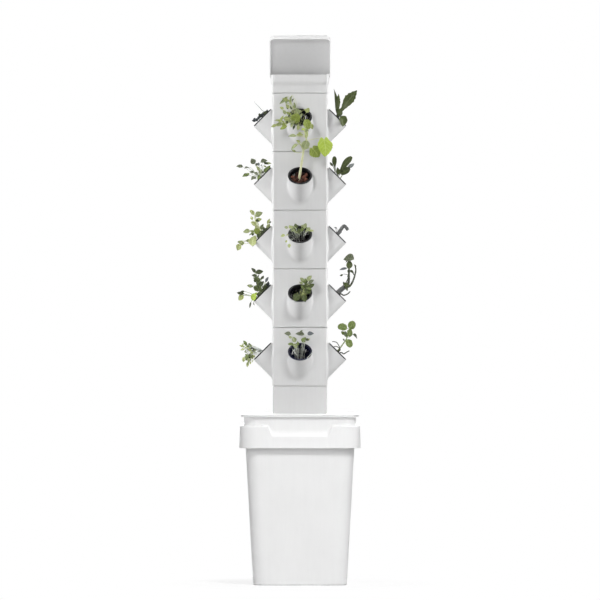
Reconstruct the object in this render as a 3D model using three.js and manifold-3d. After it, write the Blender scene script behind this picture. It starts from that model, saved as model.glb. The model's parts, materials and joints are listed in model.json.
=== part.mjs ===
// A vertical planter tower: a square column of five stacked planter modules, with four tilted
// pots on each, stands in a covered square bucket. A pump in the bucket lifts water through a
// riser hose to a distribution tray under a hinged cap, and the water trickles back down the column.
// Lengths are millimetres, +Z is up, the tower's front faces -Y, and the origin is on the ground
// under the middle of the bucket. Tiers are counted from the top.
import * as THREE from "three";
import { mergeVertices } from "three/addons/utils/BufferGeometryUtils.js";
import Module from "manifold-3d";

const wasm = await Module();
wasm.setup();

// Fits
const SEAT_GAP = 0.3;
const SLIDE_GAP = 0.3;
const CUT_OVERRUN = 2;
const WELD = 1e-4;

// Column and planter modules
const COLUMN_SIDE = 124;
const COLUMN_WALL = 3;
const COLUMN_CORNER = 4.5;
const BASE_INSET = 1;
const TIERS = 5;
const MODULE_PITCH = 132;
const SPIGOT_DEPTH = 9;
const SPIGOT_WALL = 2.2;
const SPIGOT_ROOT = 4;

// Pots, each a round spout that leans out of its wall
const POT_TILT = Math.PI / 4;
const POT_OUTER = 56;
const POT_BORE = 50.6;
const POT_OVERHANG = 21.5;
const POT_HEIGHT = 77;

// Net cups
const CUP_LIP = 54.4;
const CUP_LIP_HEIGHT = 1.8;
const CUP_CLEARANCE = 0.7;
const CUP_FOOT = 34;
const CUP_DEPTH = 46;
const CUP_WALL = 1.4;
const MEDIUM_DROP = 9;
const MEDIUM_CROWN = 4;

// Reservoir bucket
const BUCKET_FOOT = 211;
const BUCKET_SPREAD = 41;
const BUCKET_HEIGHT = 381.5;
const BUCKET_WALL = 2.4;
const BUCKET_FLOOR = 3;
const BUCKET_CORNER = 28;
const BUCKET_HEEL = 4;
const RIM_OVERHANG = 6;
const RIM_THICKNESS = 2.5;
const BAND_FOOT_Z = 309;
const BAND_TOP_Z = 358;
const BAND_OUTER = 269.5;
const BAND_FLARE = 3.5;
const BAND_WALL = 2.6;
const BAND_SHOULDER = 3;
const SCOOP_TOP = 148;
const SCOOP_FLOOR = 122;
const SCOOP_DEPTH = 23;
const SCOOP_RISE = 8;

// Reservoir lid with the socket that the column stands in
const LID_THICKNESS = 2.5;
const LID_RING_DEPTH = 12;
const LID_RING_WALL = 2.2;
const LID_RING_GAP = 0.6;
const SOCKET_DEPTH = 42;
const SOCKET_WALL = 2.5;
const SOCKET_LEDGE = 5;
const SOCKET_LEDGE_THICKNESS = 3;
const SOCKET_GAP = 0.4;
const CABLE_HOLE = 30;
const CABLE_HOLE_INSET = 24;
const BASE_VISIBLE = 63;

// Hinged cap
const CAP_SIDE = 137;
const CAP_HEIGHT = 13;
const CAP_WALL = 2.4;
const CAP_CORNER = 12;
const CAP_EDGE = 2.5;
const CAP_GAP = 0.6;
const CAP_OPEN = (41 * Math.PI) / 180;
const HINGE_DROP = 1;
const HINGE_SETBACK = 2.5;
const KNUCKLE_OUTER = 9;
const KNUCKLE_LENGTH = 48;
const EAR_THICKNESS = 6;
const EAR_GAP = 0.5;
const EAR_NOTCH_GAP = 0.6;
const PIN_DIAMETER = 4;
const PIN_HEAD = 7;
const PIN_HEAD_THICKNESS = 1.5;

// Distribution tray, whose top fits inside the closed cap, and shower plate
const TRAY_HEIGHT = 42;
const TRAY_OVERLAP = 1;
const TRAY_SKIRT = COLUMN_SIDE + 2 * TRAY_OVERLAP;
const TRAY_TOP = CAP_SIDE - 2 * (CAP_WALL + CAP_GAP);
const TRAY_FLARE_Z = 19;
const TRAY_FLARE_RISE = 5;
const TRAY_WALL = 2.6;
const TRAY_LEDGE = 4;
const PLATE_THICKNESS = 2.5;
const PLATE_LEDGE_Z = 6;
const DRIP_HOLE = 5;
const DRIP_PITCH = 24;
const DRIPS_PER_SIDE = 4;
const DRIP_STEPS = 6;

// Riser hose
const HOSE_OUTER = 16;
const HOSE_INNER = 12.6;
const HOSE_OVER_PLATE = 14;

// Pump, with its outlet under the middle of the column
const PUMP_WIDTH = 56;
const PUMP_HEIGHT = 58;
const PUMP_SHOULDER = 20;
const MOTOR_LENGTH = 72;
const COVER_LENGTH = 26;
const COVER_RIM = 2;
const COVER_WALL = 6;
const COVER_REACH = 14;
const CHAMBER_DIAMETER = 46;
const INTAKE_DIAMETER = 26;
const IMPELLER_AXIS_Z = 27;
const IMPELLER_DIAMETER = 41;
const IMPELLER_HUB = 12;
const IMPELLER_BLADES = 6;
const BLADE_THICKNESS = 2;
const BLADE_LENGTH = 12;
const ROTOR_DIAMETER = 22;
const ROTOR_LENGTH = 44;
const ROTOR_GAP = 0.6;
const SHAFT_DIAMETER = 4;
const SHAFT_SOCKET = 4;
const GLAND_DIAMETER = 12;
const GLAND_LENGTH = 8;
const OUTLET_BORE = 8;
const OUTLET_COLLAR = 20;
const OUTLET_COLLAR_HEIGHT = 8;
const BARB_HEIGHT = 24;
const BARB_RIDGES = 3;
const BARB_STEP = 0.9;
const BARB_GAP = 0.35;
const FOOT_HEIGHT = 7;
const FOOT_DIAMETER = 20;
const FOOT_NECK = 9;
const FOOT_PLATE = 3;
const FOOT_SPREAD_X = 34;
const FOOT_SPREAD_Y = 60;

// Facet counts
const CORNER_STEPS = 4;
const COLUMN_CORNER_STEPS = 2;
const POT_STEPS = 16;
const CUP_STEPS = 12;
const TUBE_STEPS = 12;

// Plants
const REACH = 56;
const STEM_WIDTH = 2.2;
const LEAF_THICKNESS = 1.3;
const TRUNK_WIDTH = 3.4;
const FOOT_SPREAD = 6;
const FOOT_BURIAL = 5;
const LEAF_LIMIT_SHARE = 0.2;
const LEAF_WAIST_SHARE = 0.45;

// Places that several pieces share
const quarter = Math.PI / 2;
const rimTop = BUCKET_HEIGHT;
const lidUnder = rimTop + SEAT_GAP;
const lidTop = lidUnder + LID_THICKNESS;
const columnFoot = lidTop - SOCKET_DEPTH + SOCKET_LEDGE_THICKNESS + SEAT_GAP;
const firstSeam = lidTop + BASE_VISIBLE;
const topSeam = firstSeam + TIERS * MODULE_PITCH;
const trayTop = topSeam + TRAY_HEIGHT;
const capFoot = trayTop + SEAT_GAP - (CAP_HEIGHT - CAP_WALL);
const columnBore = COLUMN_SIDE - 2 * COLUMN_WALL;
const boreCorner = COLUMN_CORNER - COLUMN_WALL / 2;
const baseSide = COLUMN_SIDE - 2 * BASE_INSET;
const spigotSide = columnBore - 2 * SLIDE_GAP;
const spigotBore = spigotSide - 2 * SPIGOT_WALL;
const plateFoot = topSeam + PLATE_LEDGE_Z + SEAT_GAP;
const plateTop = plateFoot + PLATE_THICKNESS;
const potReach = COLUMN_SIDE / 2 + POT_OVERHANG;
const cupTop = POT_BORE - 2 * CUP_CLEARANCE;
const pumpFoot = BUCKET_FLOOR + SEAT_GAP + FOOT_HEIGHT + SEAT_GAP;
const pumpTop = pumpFoot + PUMP_HEIGHT;
const outletFoot = pumpTop + COVER_RIM + SEAT_GAP;
const barbDiameter = HOSE_INNER - 2 * BARB_GAP;
const hoseFoot = outletFoot + OUTLET_COLLAR_HEIGHT + SEAT_GAP;
const hoseTop = plateTop + HOSE_OVER_PLATE;
const coverFront = -COVER_REACH;
const motorFront = coverFront + COVER_LENGTH + SEAT_GAP;
const impellerAxis = pumpFoot + IMPELLER_AXIS_Z;

const MATERIALS = {
  tower: { color: 0xd4d4d4, roughness: 0.42 },
  bucket: { color: 0xf2f2f2, roughness: 0.38 },
  cup: { color: 0x17181b, roughness: 0.45 },
  green: { color: 0x6f8f3a, roughness: 0.6 },
  hose: { color: 0xdfe0dc, roughness: 0.25 },
  pump: { color: 0x1b1c1e, roughness: 0.5 },
  metal: { color: 0xb9bcc0, roughness: 0.3, metalness: 0.9 },
};

// A closed geometry as a solid that can be joined and cut.
function solidOf(geometry) {
  const bare = geometry.clone();
  bare.deleteAttribute("normal");
  bare.deleteAttribute("uv");
  const merged = mergeVertices(bare, WELD);
  return new wasm.Manifold(
    new wasm.Mesh({
      numProp: 3,
      vertProperties: merged.attributes.position.array,
      triVerts: new Uint32Array(merged.index.array),
    }),
  );
}

// A solid's surface as a geometry.
function geometryOf(solid) {
  const mesh = solid.getMesh();
  const points = new Float32Array(mesh.numVert * 3);
  for (let i = 0; i < mesh.numVert; i++) {
    points.set(mesh.vertProperties.subarray(i * mesh.numProp, i * mesh.numProp + 3), i * 3);
  }
  const geometry = new THREE.BufferGeometry();
  geometry.setAttribute("position", new THREE.BufferAttribute(points, 3));
  geometry.setIndex(new THREE.BufferAttribute(new Uint32Array(mesh.triVerts), 1));
  geometry.computeVertexNormals();
  return geometry;
}

// One named piece in its own material.
function piece(name, shape, material) {
  const geometry = shape.isBufferGeometry ? shape : geometryOf(shape);
  const mesh = new THREE.Mesh(geometry, new THREE.MeshStandardMaterial(MATERIALS[material]));
  mesh.name = name;
  return mesh;
}

// The corner points of a square with rounded corners, counter-clockwise from the front right.
// stops are extra distances from the middle of each side that also get a point.
function squareOutline(side, corner, steps, stops = []) {
  const points = [];
  const middle = side / 2 - corner;
  const ordered = [...stops].sort((a, b) => a - b);
  for (let turn = 0; turn < 4; turn++) {
    const start = turn * quarter - quarter;
    const along = new THREE.Vector2(Math.cos(start + quarter), Math.sin(start + quarter));
    const out = new THREE.Vector2(Math.cos(start), Math.sin(start));
    for (const stop of ordered) {
      points.push(out.clone().multiplyScalar(side / 2).addScaledVector(along, stop));
    }
    for (let step = 0; step <= steps; step++) {
      const angle = start + (quarter * step) / steps;
      const centre = out.clone().add(along).multiplyScalar(middle);
      points.push(new THREE.Vector2(Math.cos(angle), Math.sin(angle)).multiplyScalar(corner).add(centre));
    }
  }
  return points;
}

// A rounded square's outline at a height.
function squareRing(side, corner, height, steps) {
  return squareOutline(side, corner, steps).map((point) => new THREE.Vector3(point.x, point.y, height));
}

// A straight prism of a rounded square between two heights.
function squarePrism(side, corner, low, high, steps = COLUMN_CORNER_STEPS) {
  const shape = new THREE.Shape(squareOutline(side, corner, steps));
  const geometry = new THREE.ExtrudeGeometry(shape, { depth: high - low, bevelEnabled: false });
  return solidOf(geometry.translate(0, 0, low));
}

// A box from its low to its high corner.
function block(low, high) {
  const size = high.map((value, axis) => value - low[axis]);
  const geometry = new THREE.BoxGeometry(...size);
  return solidOf(geometry.translate(...low.map((value, axis) => value + size[axis] / 2)));
}

// A cylinder that runs along +Z between two heights.
function drum(diameter, low, high, steps) {
  const radius = diameter / 2;
  const geometry = new THREE.CylinderGeometry(radius, radius, high - low, steps);
  return geometry.rotateX(quarter).translate(0, 0, (low + high) / 2);
}

// A surface through a stack of rings of points that all have as many points as each other.
// A loop of rings closes on its first ring, and a stack is closed by a flat cap at each end.
function skin(rings, loop) {
  const count = rings[0].length;
  const points = rings.flat().flatMap((point) => [point.x, point.y, point.z]);
  const faces = [];
  const stretches = loop ? rings.length : rings.length - 1;
  for (let ring = 0; ring < stretches; ring++) {
    const low = ring * count;
    const high = ((ring + 1) % rings.length) * count;
    for (let i = 0; i < count; i++) {
      const next = (i + 1) % count;
      faces.push(low + i, low + next, high + next, low + i, high + next, high + i);
    }
  }
  if (!loop) {
    const last = (rings.length - 1) * count;
    for (let i = 1; i < count - 1; i++) {
      faces.push(0, i + 1, i, last, last + i, last + i + 1);
    }
  }
  const geometry = new THREE.BufferGeometry();
  geometry.setAttribute("position", new THREE.Float32BufferAttribute(points, 3));
  geometry.setIndex(faces);
  return geometry;
}

// A planter module: a square tube with a spigot below and four tilted pots.
function planterModule() {
  const height = MODULE_PITCH - SEAT_GAP;
  let shell = squarePrism(COLUMN_SIDE, COLUMN_CORNER, 0, height);
  const inside = [];
  for (let side = 0; side < 4; side++) {
    const spoutRoot = -(POT_OVERHANG + POT_OUTER / 2 + COLUMN_WALL) / Math.cos(POT_TILT);
    const spout = placedInPot(drum(POT_OUTER, spoutRoot, 0, POT_STEPS), side);
    const bore = placedInPot(drum(POT_BORE, 1.5 * spoutRoot, CUT_OVERRUN, POT_STEPS), side);
    shell = shell.add(solidOf(spout));
    inside.push(solidOf(bore));
  }
  const hollow = squarePrism(columnBore, boreCorner, -CUT_OVERRUN, height + CUT_OVERRUN);
  shell = shell.subtract(hollow);
  const below = squarePrism(COLUMN_SIDE, COLUMN_CORNER, -height, 0);
  const above = squarePrism(COLUMN_SIDE + POT_OUTER, COLUMN_CORNER, height, 2 * height);
  shell = shell.subtract(below).subtract(above).add(spigot());
  for (const bore of inside) {
    shell = shell.subtract(bore);
  }
  return geometryOf(shell);
}

// The ring under a module that plugs into the piece below it, fused to the module's own wall.
function spigot() {
  return squarePrism(spigotSide, boreCorner, -SPIGOT_DEPTH, SPIGOT_ROOT)
    .add(squarePrism(columnBore + COLUMN_WALL, boreCorner, 0, SPIGOT_ROOT))
    .subtract(squarePrism(spigotBore, boreCorner, -2 * SPIGOT_DEPTH, 2 * SPIGOT_ROOT));
}

// A geometry drawn along a pot's axis, moved to the pot on one side of a module.
function placedInPot(geometry, side) {
  return geometry.rotateX(POT_TILT).translate(0, -potReach, POT_HEIGHT).rotateZ(side * quarter);
}

// The plain lowest piece of the column, which stands in the lid's socket.
function baseColumn() {
  const high = firstSeam - SEAT_GAP;
  return squarePrism(baseSide, COLUMN_CORNER - BASE_INSET, columnFoot, high)
    .subtract(squarePrism(columnBore, boreCorner, columnFoot - CUT_OVERRUN, high + CUT_OVERRUN));
}

// A net cup, drawn along its own axis with its lip just above the pot's mouth.
function netCup() {
  const lipFoot = SEAT_GAP;
  const lipTop = lipFoot + CUP_LIP_HEIGHT;
  const foot = lipFoot - CUP_DEPTH;
  const profile = [
    [0, foot],
    [CUP_FOOT / 2, foot],
    [cupTop / 2, lipFoot],
    [CUP_LIP / 2, lipFoot],
    [CUP_LIP / 2, lipTop],
    [cupTop / 2 - CUP_WALL, lipTop],
    [CUP_FOOT / 2 - CUP_WALL, foot + CUP_WALL],
    [0, foot + CUP_WALL],
  ];
  return turned(profile, CUP_STEPS);
}

// A profile of [radius, height] points turned round the Z axis.
function turned(profile, steps) {
  const points = profile.map(([radius, height]) => new THREE.Vector2(radius, height));
  return new THREE.LatheGeometry(points, steps).rotateX(quarter);
}

// The growing medium that fills a net cup up to a low crown.
function medium() {
  const foot = SEAT_GAP - CUP_DEPTH + CUP_WALL + SEAT_GAP;
  const level = SEAT_GAP + CUP_LIP_HEIGHT - MEDIUM_DROP;
  const taper = (cupTop - CUP_FOOT) / 2 / CUP_DEPTH;
  const least = CUP_FOOT / 2 - CUP_WALL - 2 * SEAT_GAP;
  const inner = (height) => least + (height - SEAT_GAP + CUP_DEPTH) * taper;
  const profile = [
    [0, foot],
    [inner(foot), foot],
    [inner(level), level],
    [0, level + MEDIUM_CROWN],
  ];
  return solidOf(turned(profile, CUP_STEPS).rotateX(POT_TILT));
}

// A stem that widens into a leaf. Each row of a plant holds, as shares of the plants' reach,
// the leaf tip's place (sideways, outwards, up), then the leaf's length and width, then how far
// along the plant's trunk the stem starts, where it has a trunk.
function sprig(row, trunk, facing) {
  const [sideShare, outShare, upShare, lengthShare, widthShare, trunkShare] = row;
  const tip = potPlace(sideShare, outShare, upShare);
  const axis = new THREE.Vector3(0, -Math.sin(POT_TILT), Math.cos(POT_TILT));
  const root = trunk && trunkShare !== undefined ? trunk.getPoint(trunkShare) : sprigFoot(tip);
  const length = root.distanceTo(tip);
  const bend = root.clone().addScaledVector(axis, length / 2).lerp(root.clone().lerp(tip, 1 / 2), 1 / 2);
  const curve = new THREE.QuadraticBezierCurve3(root, bend, tip);
  const leafStart = Math.max(LEAF_LIMIT_SHARE, 1 - (lengthShare * REACH) / length);
  const waist = leafStart + (1 - leafStart) * LEAF_WAIST_SHARE;
  const rings = [0, leafStart / 2, leafStart].map((stop) =>
    diamond(curve.getPoint(stop), curve.getTangent(stop), facing, STEM_WIDTH, STEM_WIDTH),
  );
  const leafWidth = widthShare * REACH;
  rings.push(diamond(curve.getPoint(waist), curve.getTangent(waist), facing, leafWidth, LEAF_THICKNESS));
  rings.push(diamond(tip, curve.getTangent(1), facing, LEAF_THICKNESS, LEAF_THICKNESS / 2));
  return solidOf(skin(rings, false));
}

// A place in a pot's frame from its shares of the plants' reach: sideways, outwards and up.
function potPlace(sideShare, outShare, upShare) {
  return new THREE.Vector3(sideShare, -outShare, upShare).multiplyScalar(REACH);
}

// Where a stem that has no trunk leaves the medium, towards its own tip.
function sprigFoot(tip) {
  const level = SEAT_GAP + CUP_LIP_HEIGHT - MEDIUM_DROP + MEDIUM_CROWN - FOOT_BURIAL;
  const foot = new THREE.Vector3(tip.x, tip.y, tip.z);
  const axis = new THREE.Vector3(0, -Math.sin(POT_TILT), Math.cos(POT_TILT));
  foot.addScaledVector(axis, -foot.dot(axis)).normalize().multiplyScalar(FOOT_SPREAD);
  return foot.addScaledVector(axis, level);
}

// Four points round a place on a stem, flat across the way that a leaf faces.
function diamond(place, tangent, facing, width, thickness) {
  const across = new THREE.Vector3().crossVectors(facing, tangent).normalize();
  const normal = new THREE.Vector3().crossVectors(tangent, across).normalize();
  return [
    place.clone().addScaledVector(across, width / 2),
    place.clone().addScaledVector(normal, thickness / 2),
    place.clone().addScaledVector(across, -width / 2),
    place.clone().addScaledVector(normal, -thickness / 2),
  ];
}

// A plant with its growing medium as one solid, in its pot's frame.
function plant(form, facing) {
  let whole = medium();
  let trunk;
  if (form.trunkShares) {
    const knots = form.trunkShares.map(([side, out, up]) => potPlace(side, out, up));
    trunk = new THREE.CatmullRomCurve3([sprigFoot(knots[0]), ...knots]);
    const stops = [0, 1 / 4, 1 / 2, 3 / 4, 1];
    const rings = stops.map((stop) => {
      const width = TRUNK_WIDTH * (1 - stop / 3);
      return diamond(trunk.getPoint(stop), trunk.getTangent(stop), facing, width, width);
    });
    whole = whole.add(solidOf(skin(rings, false)));
  }
  for (const row of form.sprigShares) {
    whole = whole.add(sprig(row, trunk, facing));
  }
  return geometryOf(whole);
}

// The plants of each bay, from the top tier down. Rows are read by sprig().
const PLANT_SHARES = {
  front: [
    {
      sprigShares: [
        [-0.6, 0.5, 0.68, 0.34, 0.2],
        [-0.36, 0.42, 0.7, 0.3, 0.16],
        [-1.06, 0.6, -0.2, 0.3, 0.2],
        [-0.66, 0.82, -0.18, 0.4, 0.32],
        [-0.16, 0.8, 0.12, 0.4, 0.36],
        [0.36, 0.78, -0.12, 0.42, 0.36],
        [0.44, 0.45, 0.36, 0.3, 0.24],
        [-0.82, 0.7, 0.14, 0.36, 0.24],
      ],
    },
    {
      trunkShares: [
        [0.02, 0.35, 0.45],
        [0.1, 0.72, 1.15],
        [0.08, 0.92, 1.65],
        [0.0, 1.05, 2.05],
      ],
      sprigShares: [
        [1.14, 0.95, 0.92, 0.66, 0.62, 0.6],
        [0.68, 0.86, 0.84, 0.38, 0.38, 0.52],
        [0.28, 1.1, 1.36, 0.3, 0.26, 0.66],
        [-0.46, 0.9, 1.28, 0.34, 0.2, 0.62],
        [-0.5, 1.0, 1.72, 0.44, 0.18, 0.78],
        [0.4, 1.15, 1.92, 0.3, 0.24, 0.88],
      ],
    },
    {
      sprigShares: [
        [-0.6, 0.5, 0.3, 0.24, 0.16],
        [-0.3, 0.5, 0.44, 0.3, 0.2],
        [-0.68, 0.56, -0.1, 0.22, 0.16],
        [-0.42, 0.7, -0.5, 0.2, 0.14],
        [0.3, 0.46, 0.5, 0.28, 0.18],
        [0.54, 0.5, 0.12, 0.24, 0.18],
      ],
    },
    {
      sprigShares: [
        [0.14, 0.5, 0.6, 0.24, 0.2],
        [0.46, 0.48, 0.66, 0.34, 0.22],
        [0.46, 0.58, 0.3, 0.26, 0.24],
        [-0.16, 0.62, -0.22, 0.34, 0.34],
        [0.24, 0.66, -0.3, 0.32, 0.28],
      ],
    },
    {
      sprigShares: [
        [-0.56, 0.5, 0.78, 0.22, 0.14],
        [-0.02, 0.52, 0.8, 0.28, 0.2],
        [0.5, 0.5, 0.78, 0.22, 0.14],
        [-0.24, 0.6, 0.54, 0.22, 0.2],
        [0.16, 0.6, 0.56, 0.24, 0.2],
        [-0.42, 0.6, 0.32, 0.24, 0.18],
      ],
    },
  ],
  left: [
    {
      sprigShares: [
        [0.06, 0.36, 0.62, 0.2, 0.05],
        [0.16, 0.42, -0.1, 0.2, 0.14],
        [0.1, 0.2, 0.16, 0.16, 0.12],
      ],
    },
    {
      sprigShares: [
        [0.16, 1.02, 0.38, 0.26, 0.16],
        [0.1, 0.42, 0.68, 0.22, 0.2],
        [0.2, 0.04, 0.64, 0.26, 0.18],
        [0.12, 0.8, -0.02, 0.26, 0.18],
        [0.2, 0.52, 0.22, 0.2, 0.14],
        [0.24, 0.52, -0.14, 0.2, 0.16],
      ],
    },
    {
      sprigShares: [
        [0.1, 0.24, 0.92, 0.32, 0.22],
        [0.2, 0.52, 0.9, 0.22, 0.12],
        [0.16, 0.46, 0.5, 0.28, 0.2],
        [0.12, 0.78, 0.16, 0.28, 0.2],
        [0.24, 0.32, 0.2, 0.3, 0.28],
        [0.16, 0.62, -0.12, 0.34, 0.34],
        [0.1, 1.1, -0.3, 0.38, 0.36],
      ],
    },
    {
      sprigShares: [
        [0.1, 0.24, 0.94, 0.34, 0.22],
        [0.18, 0.5, 0.84, 0.26, 0.16],
        [0.16, 0.44, 0.58, 0.26, 0.18],
        [0.12, 0.66, 0.36, 0.26, 0.18],
        [0.24, 0.3, 0.3, 0.28, 0.26],
        [0.16, 0.52, -0.14, 0.34, 0.32],
        [0.1, 1.02, -0.16, 0.3, 0.28],
      ],
    },
    {
      sprigShares: [
        [0.1, 0.86, 0.4, 0.2, 0.16],
        [0.16, 0.68, 0.28, 0.22, 0.18],
        [0.12, 0.9, 0.06, 0.2, 0.14],
        [0.16, 0.78, -0.18, 0.26, 0.26],
        [0.1, 0.94, -0.4, 0.24, 0.12],
      ],
    },
  ],
  right: [
    {
      sprigShares: [
        [-0.06, -0.12, 1.18, 0.94, 0.24],
        [-0.1, 0.84, 1.14, 1.1, 0.38],
        [-0.2, 0.36, -0.1, 0.34, 0.36],
      ],
    },
    {
      sprigShares: [
        [-0.06, -0.02, 0.8, 0.56, 0.18],
        [-0.1, 0.6, 0.84, 0.7, 0.34],
        [-0.16, 0.42, 0.22, 0.36, 0.32],
        [0.1, 0.62, 0.46, 0.24, 0.12],
      ],
    },
    {
      sprigShares: [
        [-0.1, 0.32, 0.42, 0.2, 0.14],
        [-0.06, 0.52, 0.2, 0.2, 0.14],
      ],
    },
    {
      trunkShares: [
        [-0.06, 0.46, 0.3],
        [-0.08, 0.54, 0.7],
        [-0.08, 0.52, 1.1],
      ],
      sprigShares: [
        [-0.14, 0.4, 1.5, 0.32, 0.34, 0.97],
        [-0.1, 0.62, 1.44, 0.4, 0.26, 0.92],
        [-0.02, 0.2, 1.0, 0.26, 0.12, 0.8],
        [0.02, 0.74, 1.18, 0.2, 0.06, 0.3],
      ],
    },
    {
      sprigShares: [
        [-0.12, 0.18, 1.08, 0.34, 0.34],
        [-0.06, 0.68, 1.14, 0.32, 0.3],
        [-0.1, 0.58, 0.72, 0.3, 0.22],
        [0.04, 0.8, 0.62, 0.24, 0.16],
        [-0.1, 0.6, 0.3, 0.32, 0.3],
      ],
    },
  ],
};

// The way that the leaves of each bay face, in its own frame.
const BAYS = [
  { name: "front", turn: 0, plants: "front", facing: new THREE.Vector3(0, -0.8, 0.6) },
  { name: "right", turn: 1, plants: "right", facing: new THREE.Vector3(-0.8, -0.3, 0.5) },
  { name: "back", turn: 2, plants: "left", facing: new THREE.Vector3(0.8, -0.3, 0.5) },
  { name: "left", turn: 3, plants: "left", facing: new THREE.Vector3(0.8, -0.3, 0.5) },
];

// The net cup and plant of each pot, hung in nested groups.
function cupsAndPlants() {
  const all = new THREE.Group();
  for (const bay of BAYS) {
    const wall = new THREE.Group();
    wall.rotation.z = bay.turn * quarter;
    for (let tier = 1; tier <= TIERS; tier++) {
      const form = PLANT_SHARES[bay.plants][(tier - 1) % PLANT_SHARES[bay.plants].length];
      const pot = new THREE.Group();
      pot.position.set(0, -potReach, topSeam - tier * MODULE_PITCH + POT_HEIGHT);
      const cup = piece(`net_cup_${bay.name}_${tier}`, netCup(), "cup");
      cup.rotation.x = POT_TILT;
      pot.add(cup, piece(`plant_${bay.name}_${tier}`, plant(form, bay.facing), "green"));
      wall.add(pot);
    }
    all.add(wall);
  }
  return all;
}

// The bucket's outer side at a height, on its even taper.
function bucketSide(height) {
  return BUCKET_FOOT + (BUCKET_SPREAD * height) / BUCKET_HEIGHT;
}

// One ring of the bucket, dipped where the two hand scoops pass through the band.
function bucketRing(side, corner, height, dip = 0) {
  const stops = [-SCOOP_TOP / 2, -SCOOP_FLOOR / 2, SCOOP_FLOOR / 2, SCOOP_TOP / 2];
  return squareOutline(side, corner, CORNER_STEPS, stops).map((point) => {
    const onFace = Math.abs(point.y) > side / 2 - SEAT_GAP;
    const inScoop = onFace && Math.abs(point.x) <= SCOOP_FLOOR / 2 + SEAT_GAP;
    return new THREE.Vector3(point.x, point.y, inScoop ? height - dip : height);
  });
}

// The bucket in one skin: out along the heel, up the wall, round the band, over the rim and down inside.
function bucket() {
  const bandCorner = BUCKET_CORNER + (BAND_OUTER - bucketSide(BAND_TOP_Z)) / 2;
  const under = BAND_TOP_Z - BAND_WALL;
  const shoulder = BAND_TOP_Z + BAND_SHOULDER;
  const rimUnder = BUCKET_HEIGHT - RIM_THICKNESS;
  const rimSide = bucketSide(BUCKET_HEIGHT) + 2 * RIM_OVERHANG;
  const bandFoot = BAND_OUTER + BAND_FLARE;
  const inner = (height) => bucketSide(height) - 2 * BUCKET_WALL;
  const innerCorner = BUCKET_CORNER - BUCKET_WALL;
  const floorEdge = BUCKET_FLOOR + BUCKET_HEEL;
  const rings = [
    bucketRing(bucketSide(0) - 2 * BUCKET_HEEL, BUCKET_CORNER - BUCKET_HEEL, 0),
    bucketRing(bucketSide(BUCKET_HEEL), BUCKET_CORNER, BUCKET_HEEL),
    bucketRing(bucketSide(under), BUCKET_CORNER, under, SCOOP_DEPTH - SCOOP_RISE),
    bucketRing(BAND_OUTER - 2 * BAND_WALL, bandCorner - BAND_WALL, under - BAND_SHOULDER, SCOOP_DEPTH),
    bucketRing(bandFoot - 2 * BAND_WALL, bandCorner - BAND_WALL, BAND_FOOT_Z),
    bucketRing(bandFoot, bandCorner, BAND_FOOT_Z),
    bucketRing(BAND_OUTER, bandCorner, BAND_TOP_Z, SCOOP_DEPTH),
    bucketRing(bucketSide(shoulder), BUCKET_CORNER, shoulder, SCOOP_DEPTH - SCOOP_RISE),
    bucketRing(bucketSide(rimUnder), BUCKET_CORNER, rimUnder),
    bucketRing(rimSide, BUCKET_CORNER + RIM_OVERHANG, rimUnder),
    bucketRing(rimSide, BUCKET_CORNER + RIM_OVERHANG, BUCKET_HEIGHT),
    bucketRing(inner(BUCKET_HEIGHT), innerCorner, BUCKET_HEIGHT),
    bucketRing(inner(floorEdge), innerCorner, floorEdge),
    bucketRing(inner(BUCKET_FLOOR) - 2 * BUCKET_HEEL, innerCorner - BUCKET_HEEL, BUCKET_FLOOR),
  ];
  return skin(rings, false);
}

// The bucket's lid: a plate on the rim, a locating ring inside it, and the column's socket.
function reservoirLid() {
  const side = bucketSide(BUCKET_HEIGHT) + 2 * RIM_OVERHANG;
  const ringSide = bucketSide(rimTop - LID_RING_DEPTH) - 2 * BUCKET_WALL - 2 * LID_RING_GAP;
  const ringCorner = BUCKET_CORNER - BUCKET_WALL;
  const ringFoot = lidUnder - LID_RING_DEPTH;
  const socketBore = baseSide + 2 * SOCKET_GAP;
  const socketFoot = lidTop - SOCKET_DEPTH;
  const ledgeTop = socketFoot + SOCKET_LEDGE_THICKNESS;
  const holeY = ringSide / 2 - CABLE_HOLE_INSET;
  const cableHole = drum(CABLE_HOLE, lidUnder - CUT_OVERRUN, lidTop + CUT_OVERRUN, POT_STEPS);
  const ringBore = ringSide - 2 * LID_RING_WALL;
  const ringHollow = [ringBore, ringCorner - LID_RING_WALL, ringFoot - CUT_OVERRUN, lidUnder];
  const ring = squarePrism(ringSide, ringCorner, ringFoot, lidTop, CORNER_STEPS)
    .subtract(squarePrism(...ringHollow, CORNER_STEPS));
  const socket = squarePrism(socketBore + 2 * SOCKET_WALL, COLUMN_CORNER + SOCKET_WALL, socketFoot, lidTop);
  return squarePrism(side, BUCKET_CORNER + RIM_OVERHANG, lidUnder, lidTop, CORNER_STEPS)
    .add(ring)
    .add(socket)
    .subtract(squarePrism(socketBore, COLUMN_CORNER, ledgeTop, lidTop + CUT_OVERRUN))
    .subtract(squarePrism(socketBore - 2 * SOCKET_LEDGE, COLUMN_CORNER, socketFoot - CUT_OVERRUN, lidTop))
    .subtract(solidOf(cableHole.translate(0, holeY, 0)));
}

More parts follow.
